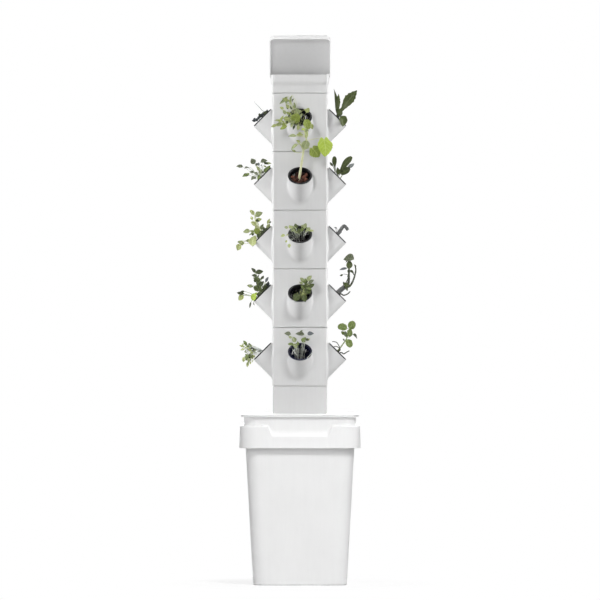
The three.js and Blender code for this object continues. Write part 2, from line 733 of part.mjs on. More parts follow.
// The distribution tray at the top of the column, with the ears of the cap's hinge behind it.
function distributionTray() {
  const ring = (side, corner, height) => squareRing(side, corner, topSeam + height, COLUMN_CORNER_STEPS);
  const flare = TRAY_FLARE_Z + TRAY_FLARE_RISE;
  const corner = COLUMN_CORNER;
  const wide = CAP_CORNER - (CAP_SIDE - TRAY_TOP) / 2;
  const rings = [
    ring(spigotBore, corner, -SPIGOT_DEPTH),
    ring(spigotSide, corner, -SPIGOT_DEPTH),
    ring(spigotSide, corner, 0),
    ring(TRAY_SKIRT, corner, 0),
    ring(TRAY_SKIRT, corner, TRAY_FLARE_Z),
    ring(TRAY_TOP, wide, flare),
    ring(TRAY_TOP, wide, TRAY_HEIGHT),
    ring(TRAY_TOP - 2 * TRAY_WALL, wide - TRAY_WALL, TRAY_HEIGHT),
    ring(TRAY_TOP - 2 * TRAY_WALL, wide - TRAY_WALL, flare),
    ring(TRAY_SKIRT - 2 * TRAY_WALL, corner, TRAY_FLARE_Z),
    ring(TRAY_SKIRT - 2 * TRAY_WALL, corner, PLATE_LEDGE_Z),
    ring(spigotBore - 2 * TRAY_LEDGE, corner, PLATE_LEDGE_Z),
    ring(spigotBore - 2 * TRAY_LEDGE, corner, PLATE_LEDGE_Z / 2),
    ring(spigotBore, corner, 0),
  ];
  let tray = solidOf(skin(rings, true));
  for (const hand of [-1, 1]) {
    tray = tray.add(ear(hand));
  }
  return tray.subtract(alongX(PIN_DIAMETER + 2 * SLIDE_GAP, KNUCKLE_LENGTH + 4 * EAR_THICKNESS));
}

// The middle of the hinge pin: just behind and below the back edge of the closed cap.
const hingeY = CAP_SIDE / 2 + HINGE_SETBACK;
const hingeZ = capFoot - HINGE_DROP;
const earInner = KNUCKLE_LENGTH / 2 + EAR_GAP;
const earOuter = earInner + EAR_THICKNESS;

// A cylinder along X on the hinge's axis.
function alongX(diameter, length) {
  const geometry = drum(diameter, -length / 2, length / 2, TUBE_STEPS);
  return solidOf(geometry.rotateY(quarter).translate(0, hingeY, hingeZ));
}

// One ear of the hinge, which stands out of the tray's back wall.
function ear(hand) {
  const low = Math.min(hand * earInner, hand * earOuter);
  const slab = block(
    [low, TRAY_TOP / 2 - TRAY_WALL / 2, hingeZ - KNUCKLE_OUTER / 2],
    [low + EAR_THICKNESS, hingeY, hingeZ + KNUCKLE_OUTER / 2],
  );
  const round = alongX(KNUCKLE_OUTER, EAR_THICKNESS).translate([low + EAR_THICKNESS / 2, 0, 0]);
  return slab.add(round);
}

// The perforated plate that spreads the water over the column.
function showerPlate() {
  const side = TRAY_SKIRT - 2 * TRAY_WALL - 2 * SLIDE_GAP;
  let plate = squarePrism(side, COLUMN_CORNER, plateFoot, plateTop);
  const low = plateFoot - CUT_OVERRUN;
  const high = plateTop + CUT_OVERRUN;
  const first = (-DRIP_PITCH * (DRIPS_PER_SIDE - 1)) / 2;
  for (let row = 0; row < DRIPS_PER_SIDE; row++) {
    for (let column = 0; column < DRIPS_PER_SIDE; column++) {
      const drip = drum(DRIP_HOLE, low, high, DRIP_STEPS);
      drip.translate(first + row * DRIP_PITCH, first + column * DRIP_PITCH, 0);
      plate = plate.subtract(solidOf(drip));
    }
  }
  return plate.subtract(solidOf(drum(HOSE_OUTER + 2 * SLIDE_GAP, low, high, TUBE_STEPS)));
}

// The cap as it lies when closed: a shallow box, open below, with the hinge's knuckle behind it.
function capClosed() {
  const low = capFoot;
  const high = low + CAP_HEIGHT;
  const ring = (side, corner, height) => squareRing(side, corner, height, CORNER_STEPS);
  const inner = CAP_SIDE - 2 * CAP_WALL;
  const rings = [
    ring(inner, CAP_CORNER - CAP_WALL, high - CAP_WALL),
    ring(inner, CAP_CORNER - CAP_WALL, low),
    ring(CAP_SIDE, CAP_CORNER, low),
    ring(CAP_SIDE, CAP_CORNER, high - CAP_EDGE),
    ring(CAP_SIDE - 2 * CAP_EDGE, CAP_CORNER - CAP_EDGE, high),
  ];
  let cap = solidOf(skin(rings, false)).add(alongX(KNUCKLE_OUTER, KNUCKLE_LENGTH));
  for (const hand of [-1, 1]) {
    const near = hand * (earInner - EAR_NOTCH_GAP);
    const far = hand * (earOuter + SEAT_GAP + PIN_HEAD_THICKNESS + EAR_NOTCH_GAP);
    const notchTop = hingeZ + KNUCKLE_OUTER / 2 + EAR_NOTCH_GAP;
    cap = cap.subtract(block(
      [Math.min(near, far), CAP_SIDE / 2 - 2 * CAP_WALL, low - CUT_OVERRUN],
      [Math.max(near, far), CAP_SIDE / 2 + CUT_OVERRUN, notchTop],
    ));
  }
  return cap.subtract(alongX(PIN_DIAMETER + 2 * SLIDE_GAP, KNUCKLE_LENGTH + 2 * CUT_OVERRUN));
}

// The cap lifted on its hinge, as it stands in the tower's resting pose.
function liftedCap() {
  const hinge = new THREE.Group();
  hinge.position.set(0, hingeY, hingeZ);
  hinge.rotation.x = -CAP_OPEN;
  hinge.add(piece("top_lid", geometryOf(capClosed().translate([0, -hingeY, -hingeZ])), "tower"));
  return hinge;
}

// The hinge pin with a flat head at each end.
function hingePin() {
  const length = 2 * (earOuter + SEAT_GAP);
  const head = alongX(PIN_HEAD, PIN_HEAD_THICKNESS);
  const headX = (length + PIN_HEAD_THICKNESS) / 2;
  return alongX(PIN_DIAMETER, length + PIN_HEAD_THICKNESS)
    .add(head.translate([headX, 0, 0]))
    .add(head.translate([-headX, 0, 0]));
}

// The riser hose, a plain tube from the pump's barb to just above the shower plate.
function riserHose() {
  const profile = [
    [HOSE_INNER / 2, hoseFoot],
    [HOSE_OUTER / 2, hoseFoot],
    [HOSE_OUTER / 2, hoseTop],
    [HOSE_INNER / 2, hoseTop],
    [HOSE_INNER / 2, hoseFoot],
  ];
  return turned(profile, TUBE_STEPS);
}

// The pump's arched outline, standing on its foot plate, from its front to its back along Y.
function pumpArch(width, height, shoulder, front, back) {
  const shape = new THREE.Shape();
  shape.moveTo(-width / 2, 0);
  shape.lineTo(width / 2, 0);
  shape.lineTo(width / 2, height - shoulder);
  shape.absarc(width / 2 - shoulder, height - shoulder, shoulder, 0, quarter);
  shape.lineTo(shoulder - width / 2, height);
  shape.absarc(shoulder - width / 2, height - shoulder, shoulder, quarter, 2 * quarter);
  const options = { depth: back - front, bevelEnabled: false, curveSegments: CORNER_STEPS };
  return new THREE.ExtrudeGeometry(shape, options).rotateX(quarter).translate(0, back, pumpFoot);
}

// A cylinder along Y on the impeller's axis.
function alongY(diameter, front, back, steps = POT_STEPS) {
  return solidOf(drum(diameter, -back, -front, steps).rotateX(quarter).translate(0, 0, impellerAxis));
}

const rotorBack = motorFront + ROTOR_LENGTH;

// The motor housing, bored for the rotor, with the cable gland moulded on its back.
function pumpCasing() {
  const back = motorFront + MOTOR_LENGTH;
  const arch = solidOf(pumpArch(PUMP_WIDTH, PUMP_HEIGHT, PUMP_SHOULDER, motorFront, back));
  const gland = solidOf(
    drum(GLAND_DIAMETER, -GLAND_LENGTH, CUT_OVERRUN, TUBE_STEPS).rotateX(quarter)
      .translate(0, back, impellerAxis),
  );
  return arch
    .add(gland)
    .subtract(alongY(ROTOR_DIAMETER + 2 * ROTOR_GAP, motorFront - CUT_OVERRUN, rotorBack + ROTOR_GAP))
    .subtract(alongY(SHAFT_DIAMETER + 2 * SLIDE_GAP, motorFront, rotorBack + SHAFT_SOCKET, TUBE_STEPS));
}

// The front cover with the impeller's chamber, the round intake and the outlet's hole.
function pumpCover() {
  const width = PUMP_WIDTH + 2 * COVER_RIM;
  const back = coverFront + COVER_LENGTH;
  const arch = pumpArch(width, PUMP_HEIGHT + COVER_RIM, PUMP_SHOULDER + COVER_RIM, coverFront, back);
  return solidOf(arch)
    .subtract(alongY(CHAMBER_DIAMETER, coverFront + COVER_WALL, back + CUT_OVERRUN))
    .subtract(alongY(INTAKE_DIAMETER, coverFront - CUT_OVERRUN, coverFront + 2 * COVER_WALL))
    .subtract(solidOf(drum(OUTLET_BORE, impellerAxis, outletFoot + CUT_OVERRUN, TUBE_STEPS)));
}

// The impeller with its magnet rotor, which turns on the shaft.
function pumpImpeller() {
  const front = coverFront + COVER_WALL + ROTOR_GAP;
  let wheel = alongY(ROTOR_DIAMETER, motorFront + ROTOR_GAP, rotorBack)
    .add(alongY(IMPELLER_HUB, front, motorFront + 2 * ROTOR_GAP, TUBE_STEPS));
  for (let blade = 0; blade < IMPELLER_BLADES; blade++) {
    const fin = new THREE.BoxGeometry(BLADE_THICKNESS, BLADE_LENGTH, IMPELLER_DIAMETER / 2);
    fin.translate(0, front + BLADE_LENGTH / 2, IMPELLER_DIAMETER / 4);
    fin.rotateY((2 * Math.PI * blade) / IMPELLER_BLADES).translate(0, 0, impellerAxis);
    wheel = wheel.add(solidOf(fin));
  }
  const boreSize = SHAFT_DIAMETER + 2 * SLIDE_GAP;
  return wheel.subtract(alongY(boreSize, front - CUT_OVERRUN, rotorBack + CUT_OVERRUN, TUBE_STEPS));
}

// The ceramic shaft, held in its socket at the back of the rotor's bore.
function pumpShaft() {
  const front = coverFront + COVER_WALL + ROTOR_GAP;
  return alongY(SHAFT_DIAMETER, front, rotorBack + SHAFT_SOCKET - SEAT_GAP, TUBE_STEPS);
}

// The outlet: a collar on the pump, then a barbed spout inside the hose.
function pumpOutlet() {
  const collarTop = outletFoot + OUTLET_COLLAR_HEIGHT;
  const ridge = (BARB_HEIGHT - BARB_STEP) / BARB_RIDGES;
  const profile = [
    [OUTLET_BORE / 2, outletFoot],
    [OUTLET_COLLAR / 2, outletFoot],
    [OUTLET_COLLAR / 2, collarTop],
  ];
  for (let barb = 0; barb < BARB_RIDGES; barb++) {
    profile.push([barbDiameter / 2 - BARB_STEP, collarTop + barb * ridge]);
    profile.push([barbDiameter / 2, collarTop + barb * ridge + BARB_STEP]);
  }
  profile.push([barbDiameter / 2 - BARB_STEP, collarTop + BARB_HEIGHT]);
  profile.push([OUTLET_BORE / 2, collarTop + BARB_HEIGHT]);
  profile.push([OUTLET_BORE / 2, outletFoot]);
  return turned(profile, TUBE_STEPS);
}

// The foot plate under the pump, with four suction feet.
function pumpFeet() {
  const low = BUCKET_FLOOR + SEAT_GAP;
  const high = low + FOOT_HEIGHT;
  const middle = coverFront + (COVER_LENGTH + MOTOR_LENGTH) / 2;
  const x = (FOOT_SPREAD_X + FOOT_NECK) / 2;
  const y = (FOOT_SPREAD_Y + FOOT_NECK) / 2;
  let plate = block([-x, middle - y, high - FOOT_PLATE], [x, middle + y, high]);
  for (const handX of [-1, 1]) {
    for (const handY of [-1, 1]) {
      const foot = turned([
        [0, low],
        [FOOT_DIAMETER / 2, low],
        [FOOT_NECK / 2, high - FOOT_PLATE],
        [FOOT_NECK / 2, high],
        [0, high],
      ], TUBE_STEPS);
      foot.translate((handX * FOOT_SPREAD_X) / 2, middle + (handY * FOOT_SPREAD_Y) / 2, 0);
      plate = plate.add(solidOf(foot));
    }
  }
  return plate;
}

// The whole tower.
function tower() {
  const group = new THREE.Group();
  group.add(piece("reservoir_bucket", bucket(), "bucket"));
  group.add(piece("reservoir_lid", reservoirLid(), "bucket"));
  group.add(piece("base_column", baseColumn(), "tower"));
  for (let tier = 1; tier <= TIERS; tier++) {
    const module = piece(`planter_module_${tier}`, planterModule(), "tower");
    module.position.z = topSeam - tier * MODULE_PITCH;
    group.add(module);
  }
  group.add(piece("distribution_tray", distributionTray(), "tower"));
  group.add(piece("shower_plate", showerPlate(), "tower"));
  group.add(piece("hinge_pin", hingePin(), "metal"));
  group.add(liftedCap());
  group.add(piece("riser_hose", riserHose(), "hose"));
  group.add(piece("pump_casing", pumpCasing(), "pump"));
  group.add(piece("pump_front_cover", pumpCover(), "pump"));
  group.add(piece("pump_impeller", pumpImpeller(), "pump"));
  group.add(piece("pump_shaft", pumpShaft(), "metal"));
  group.add(piece("pump_outlet", pumpOutlet(), "pump"));
  group.add(piece("pump_feet", pumpFeet(), "pump"));
  group.add(cupsAndPlants());
  return group;
}

export default tower();
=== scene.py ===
"""Dresses a vertical planter tower for rendering.

A square column of stacked planter modules with tilted pots stands in a covered bucket. Net cups with
young plants sit in the pots, and a hinged cap stands open over the distribution tray. Lengths are
millimetres unless a name says otherwise. The front faces -Y and Z is up, as in the CAD model.
"""

from __future__ import annotations

import json
import logging
import random
import sys
from dataclasses import dataclass, field
from enum import Enum
from math import atan2, cos, hypot, pi, radians, sin, sqrt
from typing import Any, Iterable, Sequence

import bmesh
import bpy
from mathutils import Matrix, Vector, noise
from mathutils.geometry import tessellate_polygon

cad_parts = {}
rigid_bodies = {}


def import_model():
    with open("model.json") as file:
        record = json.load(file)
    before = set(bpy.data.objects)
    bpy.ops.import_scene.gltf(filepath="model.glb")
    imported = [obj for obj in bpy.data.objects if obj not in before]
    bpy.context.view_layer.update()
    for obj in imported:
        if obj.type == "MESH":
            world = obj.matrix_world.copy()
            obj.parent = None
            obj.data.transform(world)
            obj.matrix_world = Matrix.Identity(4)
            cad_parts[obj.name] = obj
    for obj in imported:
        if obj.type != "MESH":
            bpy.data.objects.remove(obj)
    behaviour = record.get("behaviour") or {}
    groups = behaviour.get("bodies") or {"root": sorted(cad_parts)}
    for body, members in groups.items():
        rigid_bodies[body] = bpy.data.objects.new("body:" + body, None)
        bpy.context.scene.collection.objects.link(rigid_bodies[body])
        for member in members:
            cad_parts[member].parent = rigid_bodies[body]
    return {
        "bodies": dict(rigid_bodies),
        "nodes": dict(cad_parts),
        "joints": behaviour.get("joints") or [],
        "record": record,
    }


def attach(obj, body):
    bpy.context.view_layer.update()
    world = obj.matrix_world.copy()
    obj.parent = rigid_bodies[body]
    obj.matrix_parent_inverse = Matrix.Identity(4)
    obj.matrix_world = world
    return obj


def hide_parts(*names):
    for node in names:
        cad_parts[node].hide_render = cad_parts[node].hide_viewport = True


MM = 0.001
QUARTER = pi / 2
SLANT = sqrt(0.5)
GOLDEN_ANGLE = 2.39996
EDGE_ANGLE = 38.0
TOUCH = 1e-4
WHITE = (1.0, 1.0, 1.0)
LOG = logging.getLogger("planter_tower")

Pair = tuple[float, float]
Triple = tuple[float, float, float]
Colour = Triple
Rows = Sequence[Sequence[int]]
Mesh = bpy.types.Mesh
Material = bpy.types.Material


def tones(codes: str) -> list[Colour]:
    """Turns colours read off a screen into the linear colours that shaders take.

    Args:
        codes: the colours, each as six hexadecimal digits.

    Returns:
        The linear colours.
    """
    colours = []
    for code in codes.split():
        shares = (part / 255 for part in bytes.fromhex(code))
        colours.append(tuple(s / 12.92 if s <= 0.04045 else ((s + 0.055) / 1.055) ** 2.4 for s in shares))
    return colours


def added(name: str, data: bpy.types.ID) -> bpy.types.Object:
    """Puts a new object into the scene.

    Args:
        name: its name.
        data: its mesh, lamp or camera.

    Returns:
        The object.
    """
    made = bpy.data.objects.new(name, data)
    bpy.context.scene.collection.objects.link(made)
    return made


def blend(first: float, last: float, share: float) -> float:
    """Returns the value a share of the way from the first to the last."""
    return first + (last - first) * share


def smooth(share: float) -> float:
    """Returns a share eased at both ends, and held between 0 and 1."""
    held = min(max(share, 0.0), 1.0)
    return held * held * (3 - 2 * held)


def sharpened(mesh: Mesh, edge_angle: float = EDGE_ANGLE) -> Mesh:
    """Shades a mesh smooth between its sharp edges.

    Args:
        mesh: the mesh.
        edge_angle: the angle in degrees from which an edge stays sharp.

    Returns:
        The same mesh.
    """
    mesh.shade_smooth()
    mesh.set_sharp_from_angle(angle=radians(edge_angle))
    return mesh


@dataclass
class Form:
    """A mesh while it is being drawn, in millimetres.

    Each point carries two marks, how far along and how far across its leaf or stem it lies, and
    each face the number of the finish it takes.
    """

    points: list[Vector] = field(default_factory=list)
    marks: list[Pair] = field(default_factory=list)
    faces: list[tuple[int, ...]] = field(default_factory=list)
    finishes: list[int] = field(default_factory=list)

    def add(self, points: Iterable[Vector], mark: Pair = (0.0, 0.0)) -> list[int]:
        """Adds points that share one mark.

        Args:
            points: the places of the points.
            mark: their place along and across.

        Returns:
            The points' numbers.
        """
        start = len(self.points)
        self.points.extend(Vector(point) for point in points)
        self.marks.extend([mark] * (len(self.points) - start))
        return list(range(start, len(self.points)))

    def face(self, numbers: Sequence[int], finish: int = 0) -> None:
        """Adds one face round the points of those numbers."""
        self.faces.append(tuple(numbers))
        self.finishes.append(finish)

    def band(self, low: Sequence[int], high: Sequence[int], closed: bool = True) -> None:
        """Joins two rows of as many points with four-sided faces.

        Args:
            low: the numbers of the first row's points.
            high: the numbers of the second row's points.
            closed: whether the rows close on themselves.
        """
        count = len(low)
        for i in range(count if closed else count - 1):
            after = (i + 1) % count
            self.face((low[i], low[after], high[after], high[i]))

    def stack(self, rows: Rows, loop: bool = False, closed: bool = True) -> None:
        """Joins a stack of rows, and its last row to its first where it is a loop.

        Args:
            rows: the rows of point numbers, in order.
            loop: whether the last row joins the first.
            closed: whether each row closes on itself.
        """
        for low, high in zip(rows, rows[1:]):
            self.band(low, high, closed)
        if loop:
            self.band(rows[-1], rows[0], closed)

    def enclose(self, rows: Rows, loop: bool = False) -> Form:
        """Joins a stack of rows into a closed solid, whose ends are filled where it isn't a loop.

        Args:
            rows: the rows of point numbers, in order.
            loop: whether the last row joins the first.

        Returns:
            This form.
        """
        self.stack(rows, loop)
        if not loop:
            self.fill(rows[0])
            self.fill(rows[-1])
        return self

    def solid(self, rows: Iterable[Iterable[Vector]], loop: bool = False) -> Form:
        """Adds rows of points, joins them into a closed solid and returns this form."""
        return self.enclose([self.add(row) for row in rows], loop)

    def fill(self, outer: Sequence[int], *holes: Sequence[int]) -> None:
        """Fills the flat space inside a ring of points, apart from the holes in it.

        Args:
            outer: the numbers of the ring's points.
            holes: the numbers of each hole's points.
        """
        if not holes:
            self.face(outer)
            return
        numbers = [*outer, *(number for hole in holes for number in hole)]
        rings = [[self.points[number] for number in ring] for ring in (outer, *holes)]
        for triangle in tessellate_polygon(rings):
            self.face([numbers[i] for i in triangle])

    def take(self, other: Form, place: Matrix | None = None, finish: int = 0) -> Form:
        """Adds a copy of another form.

        Args:
            other: the form to copy.
            place: where the copy goes.
            finish: the number added to each of its faces' finishes.

        Returns:
            This form.
        """
        start = len(self.points)
        self.points.extend(place @ point if place else point.copy() for point in other.points)
        self.marks.extend(other.marks)
        self.faces.extend(tuple(start + number for number in face) for face in other.faces)
        self.finishes.extend(finish + number for number in other.finishes)
        return self

    def mesh(self, name: str, edge_angle: float = EDGE_ANGLE) -> Mesh:
        """Makes the Blender mesh, in metres, with smooth faces between its sharp edges.

        Args:
            name: the mesh's name.
            edge_angle: the angle in degrees from which an edge stays sharp.

        Returns:
            The mesh.
        """
        mesh = bpy.data.meshes.new(name)
        mesh.from_pydata([point * MM for point in self.points], [], self.faces)
        mesh.polygons.foreach_set("material_index", self.finishes)
        for word, row in (("along", 0), ("across", 1)):
            if any(mark[row] for mark in self.marks):
                values = [mark[row] for mark in self.marks]
                mesh.attributes.new(word, "FLOAT", "POINT").data.foreach_set("value", values)
        work = bmesh.new()
        work.from_mesh(mesh)
        bmesh.ops.remove_doubles(work, verts=work.verts, dist=0.002 * MM)
        bmesh.ops.recalc_face_normals(work, faces=work.faces)
        work.to_mesh(mesh)
        work.free()
        return sharpened(mesh, edge_angle)


@dataclass(frozen=True)
class Knot:
    """A rounded square at a height, which is one corner of a form's cross-section.

    Attributes:
        half: half the square's width.
        corner: the radius of its corners in plan.
        height: its height.
        soft: how far the cross-section is rounded off there.
        dip: how far the square sinks where a hand scoop passes.
    """

    half: float
    corner: float
    height: float
    soft: float = 0.5
    dip: float = 0.0

    def towards(self, other: Knot, share: float) -> Knot:
        """Returns the knot that lies a share of the way to another one."""
        return Knot(
            blend(self.half, other.half, share),
            blend(self.corner, other.corner, share),
            blend(self.height, other.height, share),
            0.0,
            blend(self.dip, other.dip, share),
        )

    def reach(self, other: Knot) -> float:
        """Returns the share of the way to another knot at which the rounding starts."""
        length = hypot(other.half - self.half, other.height - self.height)
        return min(self.soft / length, 0.45) if length else 0.0


def softened(rows: Sequence[Sequence[float]], loop: bool, steps: int = 3) -> list[Knot]:
    """Rounds a cross-section at its knots.

    Args:
        rows: the measures of each knot of the cross-section, in order.
        loop: whether the last knot is followed by the first.
        steps: how many stretches each rounding has.

    Returns:
        The knots of the rounded cross-section.
    """
    knots = [Knot(*row) for row in rows]
    rounded: list[Knot] = []
    for index, knot in enumerate(knots):
        if knot.soft <= 0 or (not loop and index in (0, len(knots) - 1)):
            rounded.append(knot)
            continue
        before, after = knots[index - 1], knots[(index + 1) % len(knots)]
        start = knot.towards(before, knot.reach(before))
        end = knot.towards(after, knot.reach(after))
        for share in (step / steps for step in range(steps + 1)):
            rounded.append(start.towards(knot, share).towards(knot.towards(end, share), share))
    return rounded


def square_outline(half: float, corner: float, steps: int, stops: Sequence[float] = ()) -> list[Vector]:
    """Draws a square with rounded corners, counter-clockwise from its front side.

    Args:
        half: half its width.
        corner: the radius of its corners.
        steps: how many stretches each corner has.
        stops: places along each side, from its middle, that get a point.

    Returns:
        The points, at height zero.
    """
    points: list[Vector] = []
    radius = max(corner, 0.01)
    for turn in range(4):
        start = (turn - 1) * QUARTER
        out = Vector((cos(start), sin(start), 0))
        along = Vector((-out.y, out.x, 0))
        points += [out * half + along * stop for stop in stops]
        for step in range(steps + 1):
            angle = start + QUARTER * step / steps
            ray = Vector((cos(angle), sin(angle), 0))
            points.append(ray * radius + (out + along) * (half - radius))
    return points


def square_loft(rows: Sequence[Sequence[float]], loop: bool, steps: int = 8, soft_steps: int = 3) -> Form:
    """Lofts a cross-section of rounded squares, with flat ends where it isn't a loop.

    Args:
        rows: the measures of each knot of the cross-section, in order.
        loop: whether the cross-section closes on itself.
        steps: how many stretches each corner has in plan.
        soft_steps: how many stretches each rounding of the cross-section has.

    Returns:
        The lofted form.
    """
    return Form().solid((
        [point + Vector((0, 0, knot.height)) for point in square_outline(knot.half, knot.corner, steps)]
        for knot in softened(rows, loop, soft_steps)
    ), loop)


def turned(profile: Sequence[Pair], steps: int, loop: bool = False) -> Form:
    """Turns a profile round the Z axis.

    Args:
        profile: points of radius and height.
        steps: how many points each ring has.
        loop: whether the profile closes on itself.

    Returns:
        The turned form.
    """
    angles = [2 * pi * i / steps for i in range(steps)]
    return Form().solid((
        [Vector((radius * cos(a), radius * sin(a), height)) for a in angles] for radius, height in profile
    ), loop)


def rounded_profile(corners: Sequence[Triple], loop: bool) -> list[Pair]:
    """Returns a profile for turning, from radii and heights that are each rounded by a third measure."""
    rows = [(radius, 0.0, height, soft) for radius, height, soft in corners]
    return [(knot.half, knot.height) for knot in softened(rows, loop)]


def tube(path: Sequence[Vector], radii: Sequence[float], sides: int) -> Form:
    """Sweeps a round section of changing radius along a path.

    Args:
        path: the points that it follows.
        radii: the radius at each point.
        sides: how many sides the section has.

    Returns:
        The swept form, marked along its length.
    """
    form = Form()
    rows: list[list[int]] = []
    across = Vector((0.31, 0.95, 0.05))
    turns = [2 * pi * side / sides for side in range(sides)]
    for index, (point, radius) in enumerate(zip(path, radii)):
        tangent = (path[min(index + 1, len(path) - 1)] - path[max(index - 1, 0)]).normalized()
        across = (across - tangent * across.dot(tangent)).normalized()
        other = tangent.cross(across)
        ring = [point + (across * cos(a) + other * sin(a)) * radius for a in turns]
        rows.append(form.add(ring, (index / (len(path) - 1) + 0.001, 0.0)))
    return form.enclose(rows)


def smooth_path(knots: Sequence[Vector], steps: int) -> list[Vector]:
    """Draws an even curve through its knots.

    Args:
        knots: the points that the curve passes through.
        steps: how many stretches lie between two knots.

    Returns:
        The curve's points.
    """
    path: list[Vector] = []
    for index in range(len(knots) - 1):
        before = knots[max(index - 1, 0)]
        start, end = knots[index], knots[index + 1]
        after = knots[min(index + 2, len(knots) - 1)]
        for step in range(steps):
            t = step / steps
            path.append(0.5 * (
                2 * start + (end - before) * t + (2 * before - 5 * start + 4 * end - after) * t**2
                + (3 * start - before - 3 * end + after) * t**3
            ))
    path.append(knots[-1].copy())
    return path


@dataclass(frozen=True, eq=False)
class Value:
    """One output of a material's nodes, with the arithmetic that the finishes use."""

    shader: Shader
    socket: bpy.types.NodeSocket

    def __add__(self, other: Number) -> Value:
        """Returns the sum."""
        return self.shader.maths("ADD", self, other)

    __radd__ = __add__

    def __sub__(self, other: Number) -> Value:
        """Returns the difference."""
        return self.shader.maths("SUBTRACT", self, other)

    def __rsub__(self, other: Number) -> Value:
        """Returns the difference from a number."""
        return self.shader.maths("SUBTRACT", other, self)

    def __mul__(self, other: Number) -> Value:
        """Returns the product."""
        return self.shader.maths("MULTIPLY", self, other)

    __rmul__ = __mul__

    def __pow__(self, other: Number) -> Value:
        """Returns the power."""
        return self.shader.maths("POWER", self, other)

    def size(self) -> Value:
        """Returns the value without its sign."""
        return self.shader.maths("ABSOLUTE", self, 0.0)

    def wave(self) -> Value:
        """Returns a wave from 0 to 1 that repeats each time the value grows by one."""
        return self.shader.maths("SINE", self * (2 * pi), 0.0) * 0.5 + 0.5

    def eased(self, low: float, high: float, start: float = 0.0, end: float = 1.0) -> Value:
        """Returns the value eased from the range of low and high onto that of start and end."""
        span = {"Value": self, "From Min": low, "From Max": high, "To Min": start, "To Max": end}
        return self.shader.node("MapRange", {"interpolation_type": "SMOOTHSTEP"}, span)


Number = Value | float


class Shader:
    """The nodes of one material."""

    def __init__(self, name: str, world: bool = False) -> None:
        """Makes an empty material, or an empty world.

        Args:
            name: its name.
            world: whether it is a world.
        """
        self.material = bpy.data.worlds.new(name) if world else bpy.data.materials.new(name)
        self.output = "OutputWorld" if world else "OutputMaterial"
        self.material.use_nodes = True
        self.tree = self.material.node_tree
        self.tree.nodes.clear()

    def node(
        self, kind: str, settings: dict[str, Any] | None = None, inputs: dict[str | int, Any] | None = None,
        output: int | str = 0,
    ) -> Value:
        """Adds a node.

        Args:
            kind: the node's type, without the word that they all start with.
            settings: its settings.
            inputs: the value or link of each socket, by name or number.
            output: the output that is wanted.

        Returns:
            That output.
        """
        made = self.tree.nodes.new("ShaderNode" + kind)
        for name, setting in (settings or {}).items():
            setattr(made, name, setting)
        for name, value in (inputs or {}).items():
            socket = made.inputs[name]
            if isinstance(value, Value):
                self.tree.links.new(value.socket, socket)
            elif socket.type == "RGBA":
                socket.default_value = (*value[:3], 1.0)
            else:
                socket.default_value = value
        return Value(self, made.outputs[output])

    def maths(self, operation: str, first: Number, second: Number) -> Value:
        """Returns a Math node's result."""
        return self.node("Math", {"operation": operation}, {0: first, 1: second})

    def mixed(self, share: Number, first: Value | Colour, last: Value | Colour) -> Value:
        """Returns the first colour with a share of the last one mixed in."""
        settings = {"data_type": "RGBA", "clamp_factor": True}
        return self.node("Mix", settings, {0: share, 6: first, 7: last}, 2)

    def place(self, scale: Triple = (1.0, 1.0, 1.0)) -> Value:
        """Returns the place on the piece in metres, stretched by a scale."""
        here = self.node("TexCoord", output="Object")
        return self.node("VectorMath", {"operation": "MULTIPLY"}, {0: here, 1: scale})

    def noise(self, place: Value, cell: float, detail: float = 2.0, rough: float = 0.5) -> Value:
        """Returns soft noise from 0 to 1 with patches of a size in millimetres, in layers of detail."""
        inputs = {"Vector": place, "Scale": 1 / (cell * MM), "Detail": detail, "Roughness": rough}
        return self.node("TexNoise", None, inputs)

    def mark(self, name: str) -> Value:
        """Returns one of the marks that a form carries."""
        return self.node("Attribute", {"attribute_name": name}, None, "Fac")

    def bump(self, height: Value, depth: float, strength: float) -> Value:
        """Returns a normal tilted by a height from 0 to 1, whose depth is in millimetres."""
        return self.node("Bump", None, {"Height": height, "Distance": depth * MM, "Strength": strength})

    def finished(
        self, colour: Value, rough: Value, normal: Value, gloss: float = 0.5,
        more: dict[str, float] | None = None,
    ) -> Material:
        """Returns the material, ended in a Principled shader with more of its sockets set."""
        inputs = {"Base Color": colour, "Roughness": rough, "Normal": normal, "Specular IOR Level": gloss}
        return self.show(self.node("BsdfPrincipled", None, inputs | (more or {})))

    def show(self, shader: Value) -> Material:
        """Links a shader to the output.

        Args:
            shader: the shader.

        Returns:
            The material.
        """
        end = self.tree.nodes.new("ShaderNode" + self.output)
        self.tree.links.new(shader.socket, end.inputs["Surface"])
        return self.material


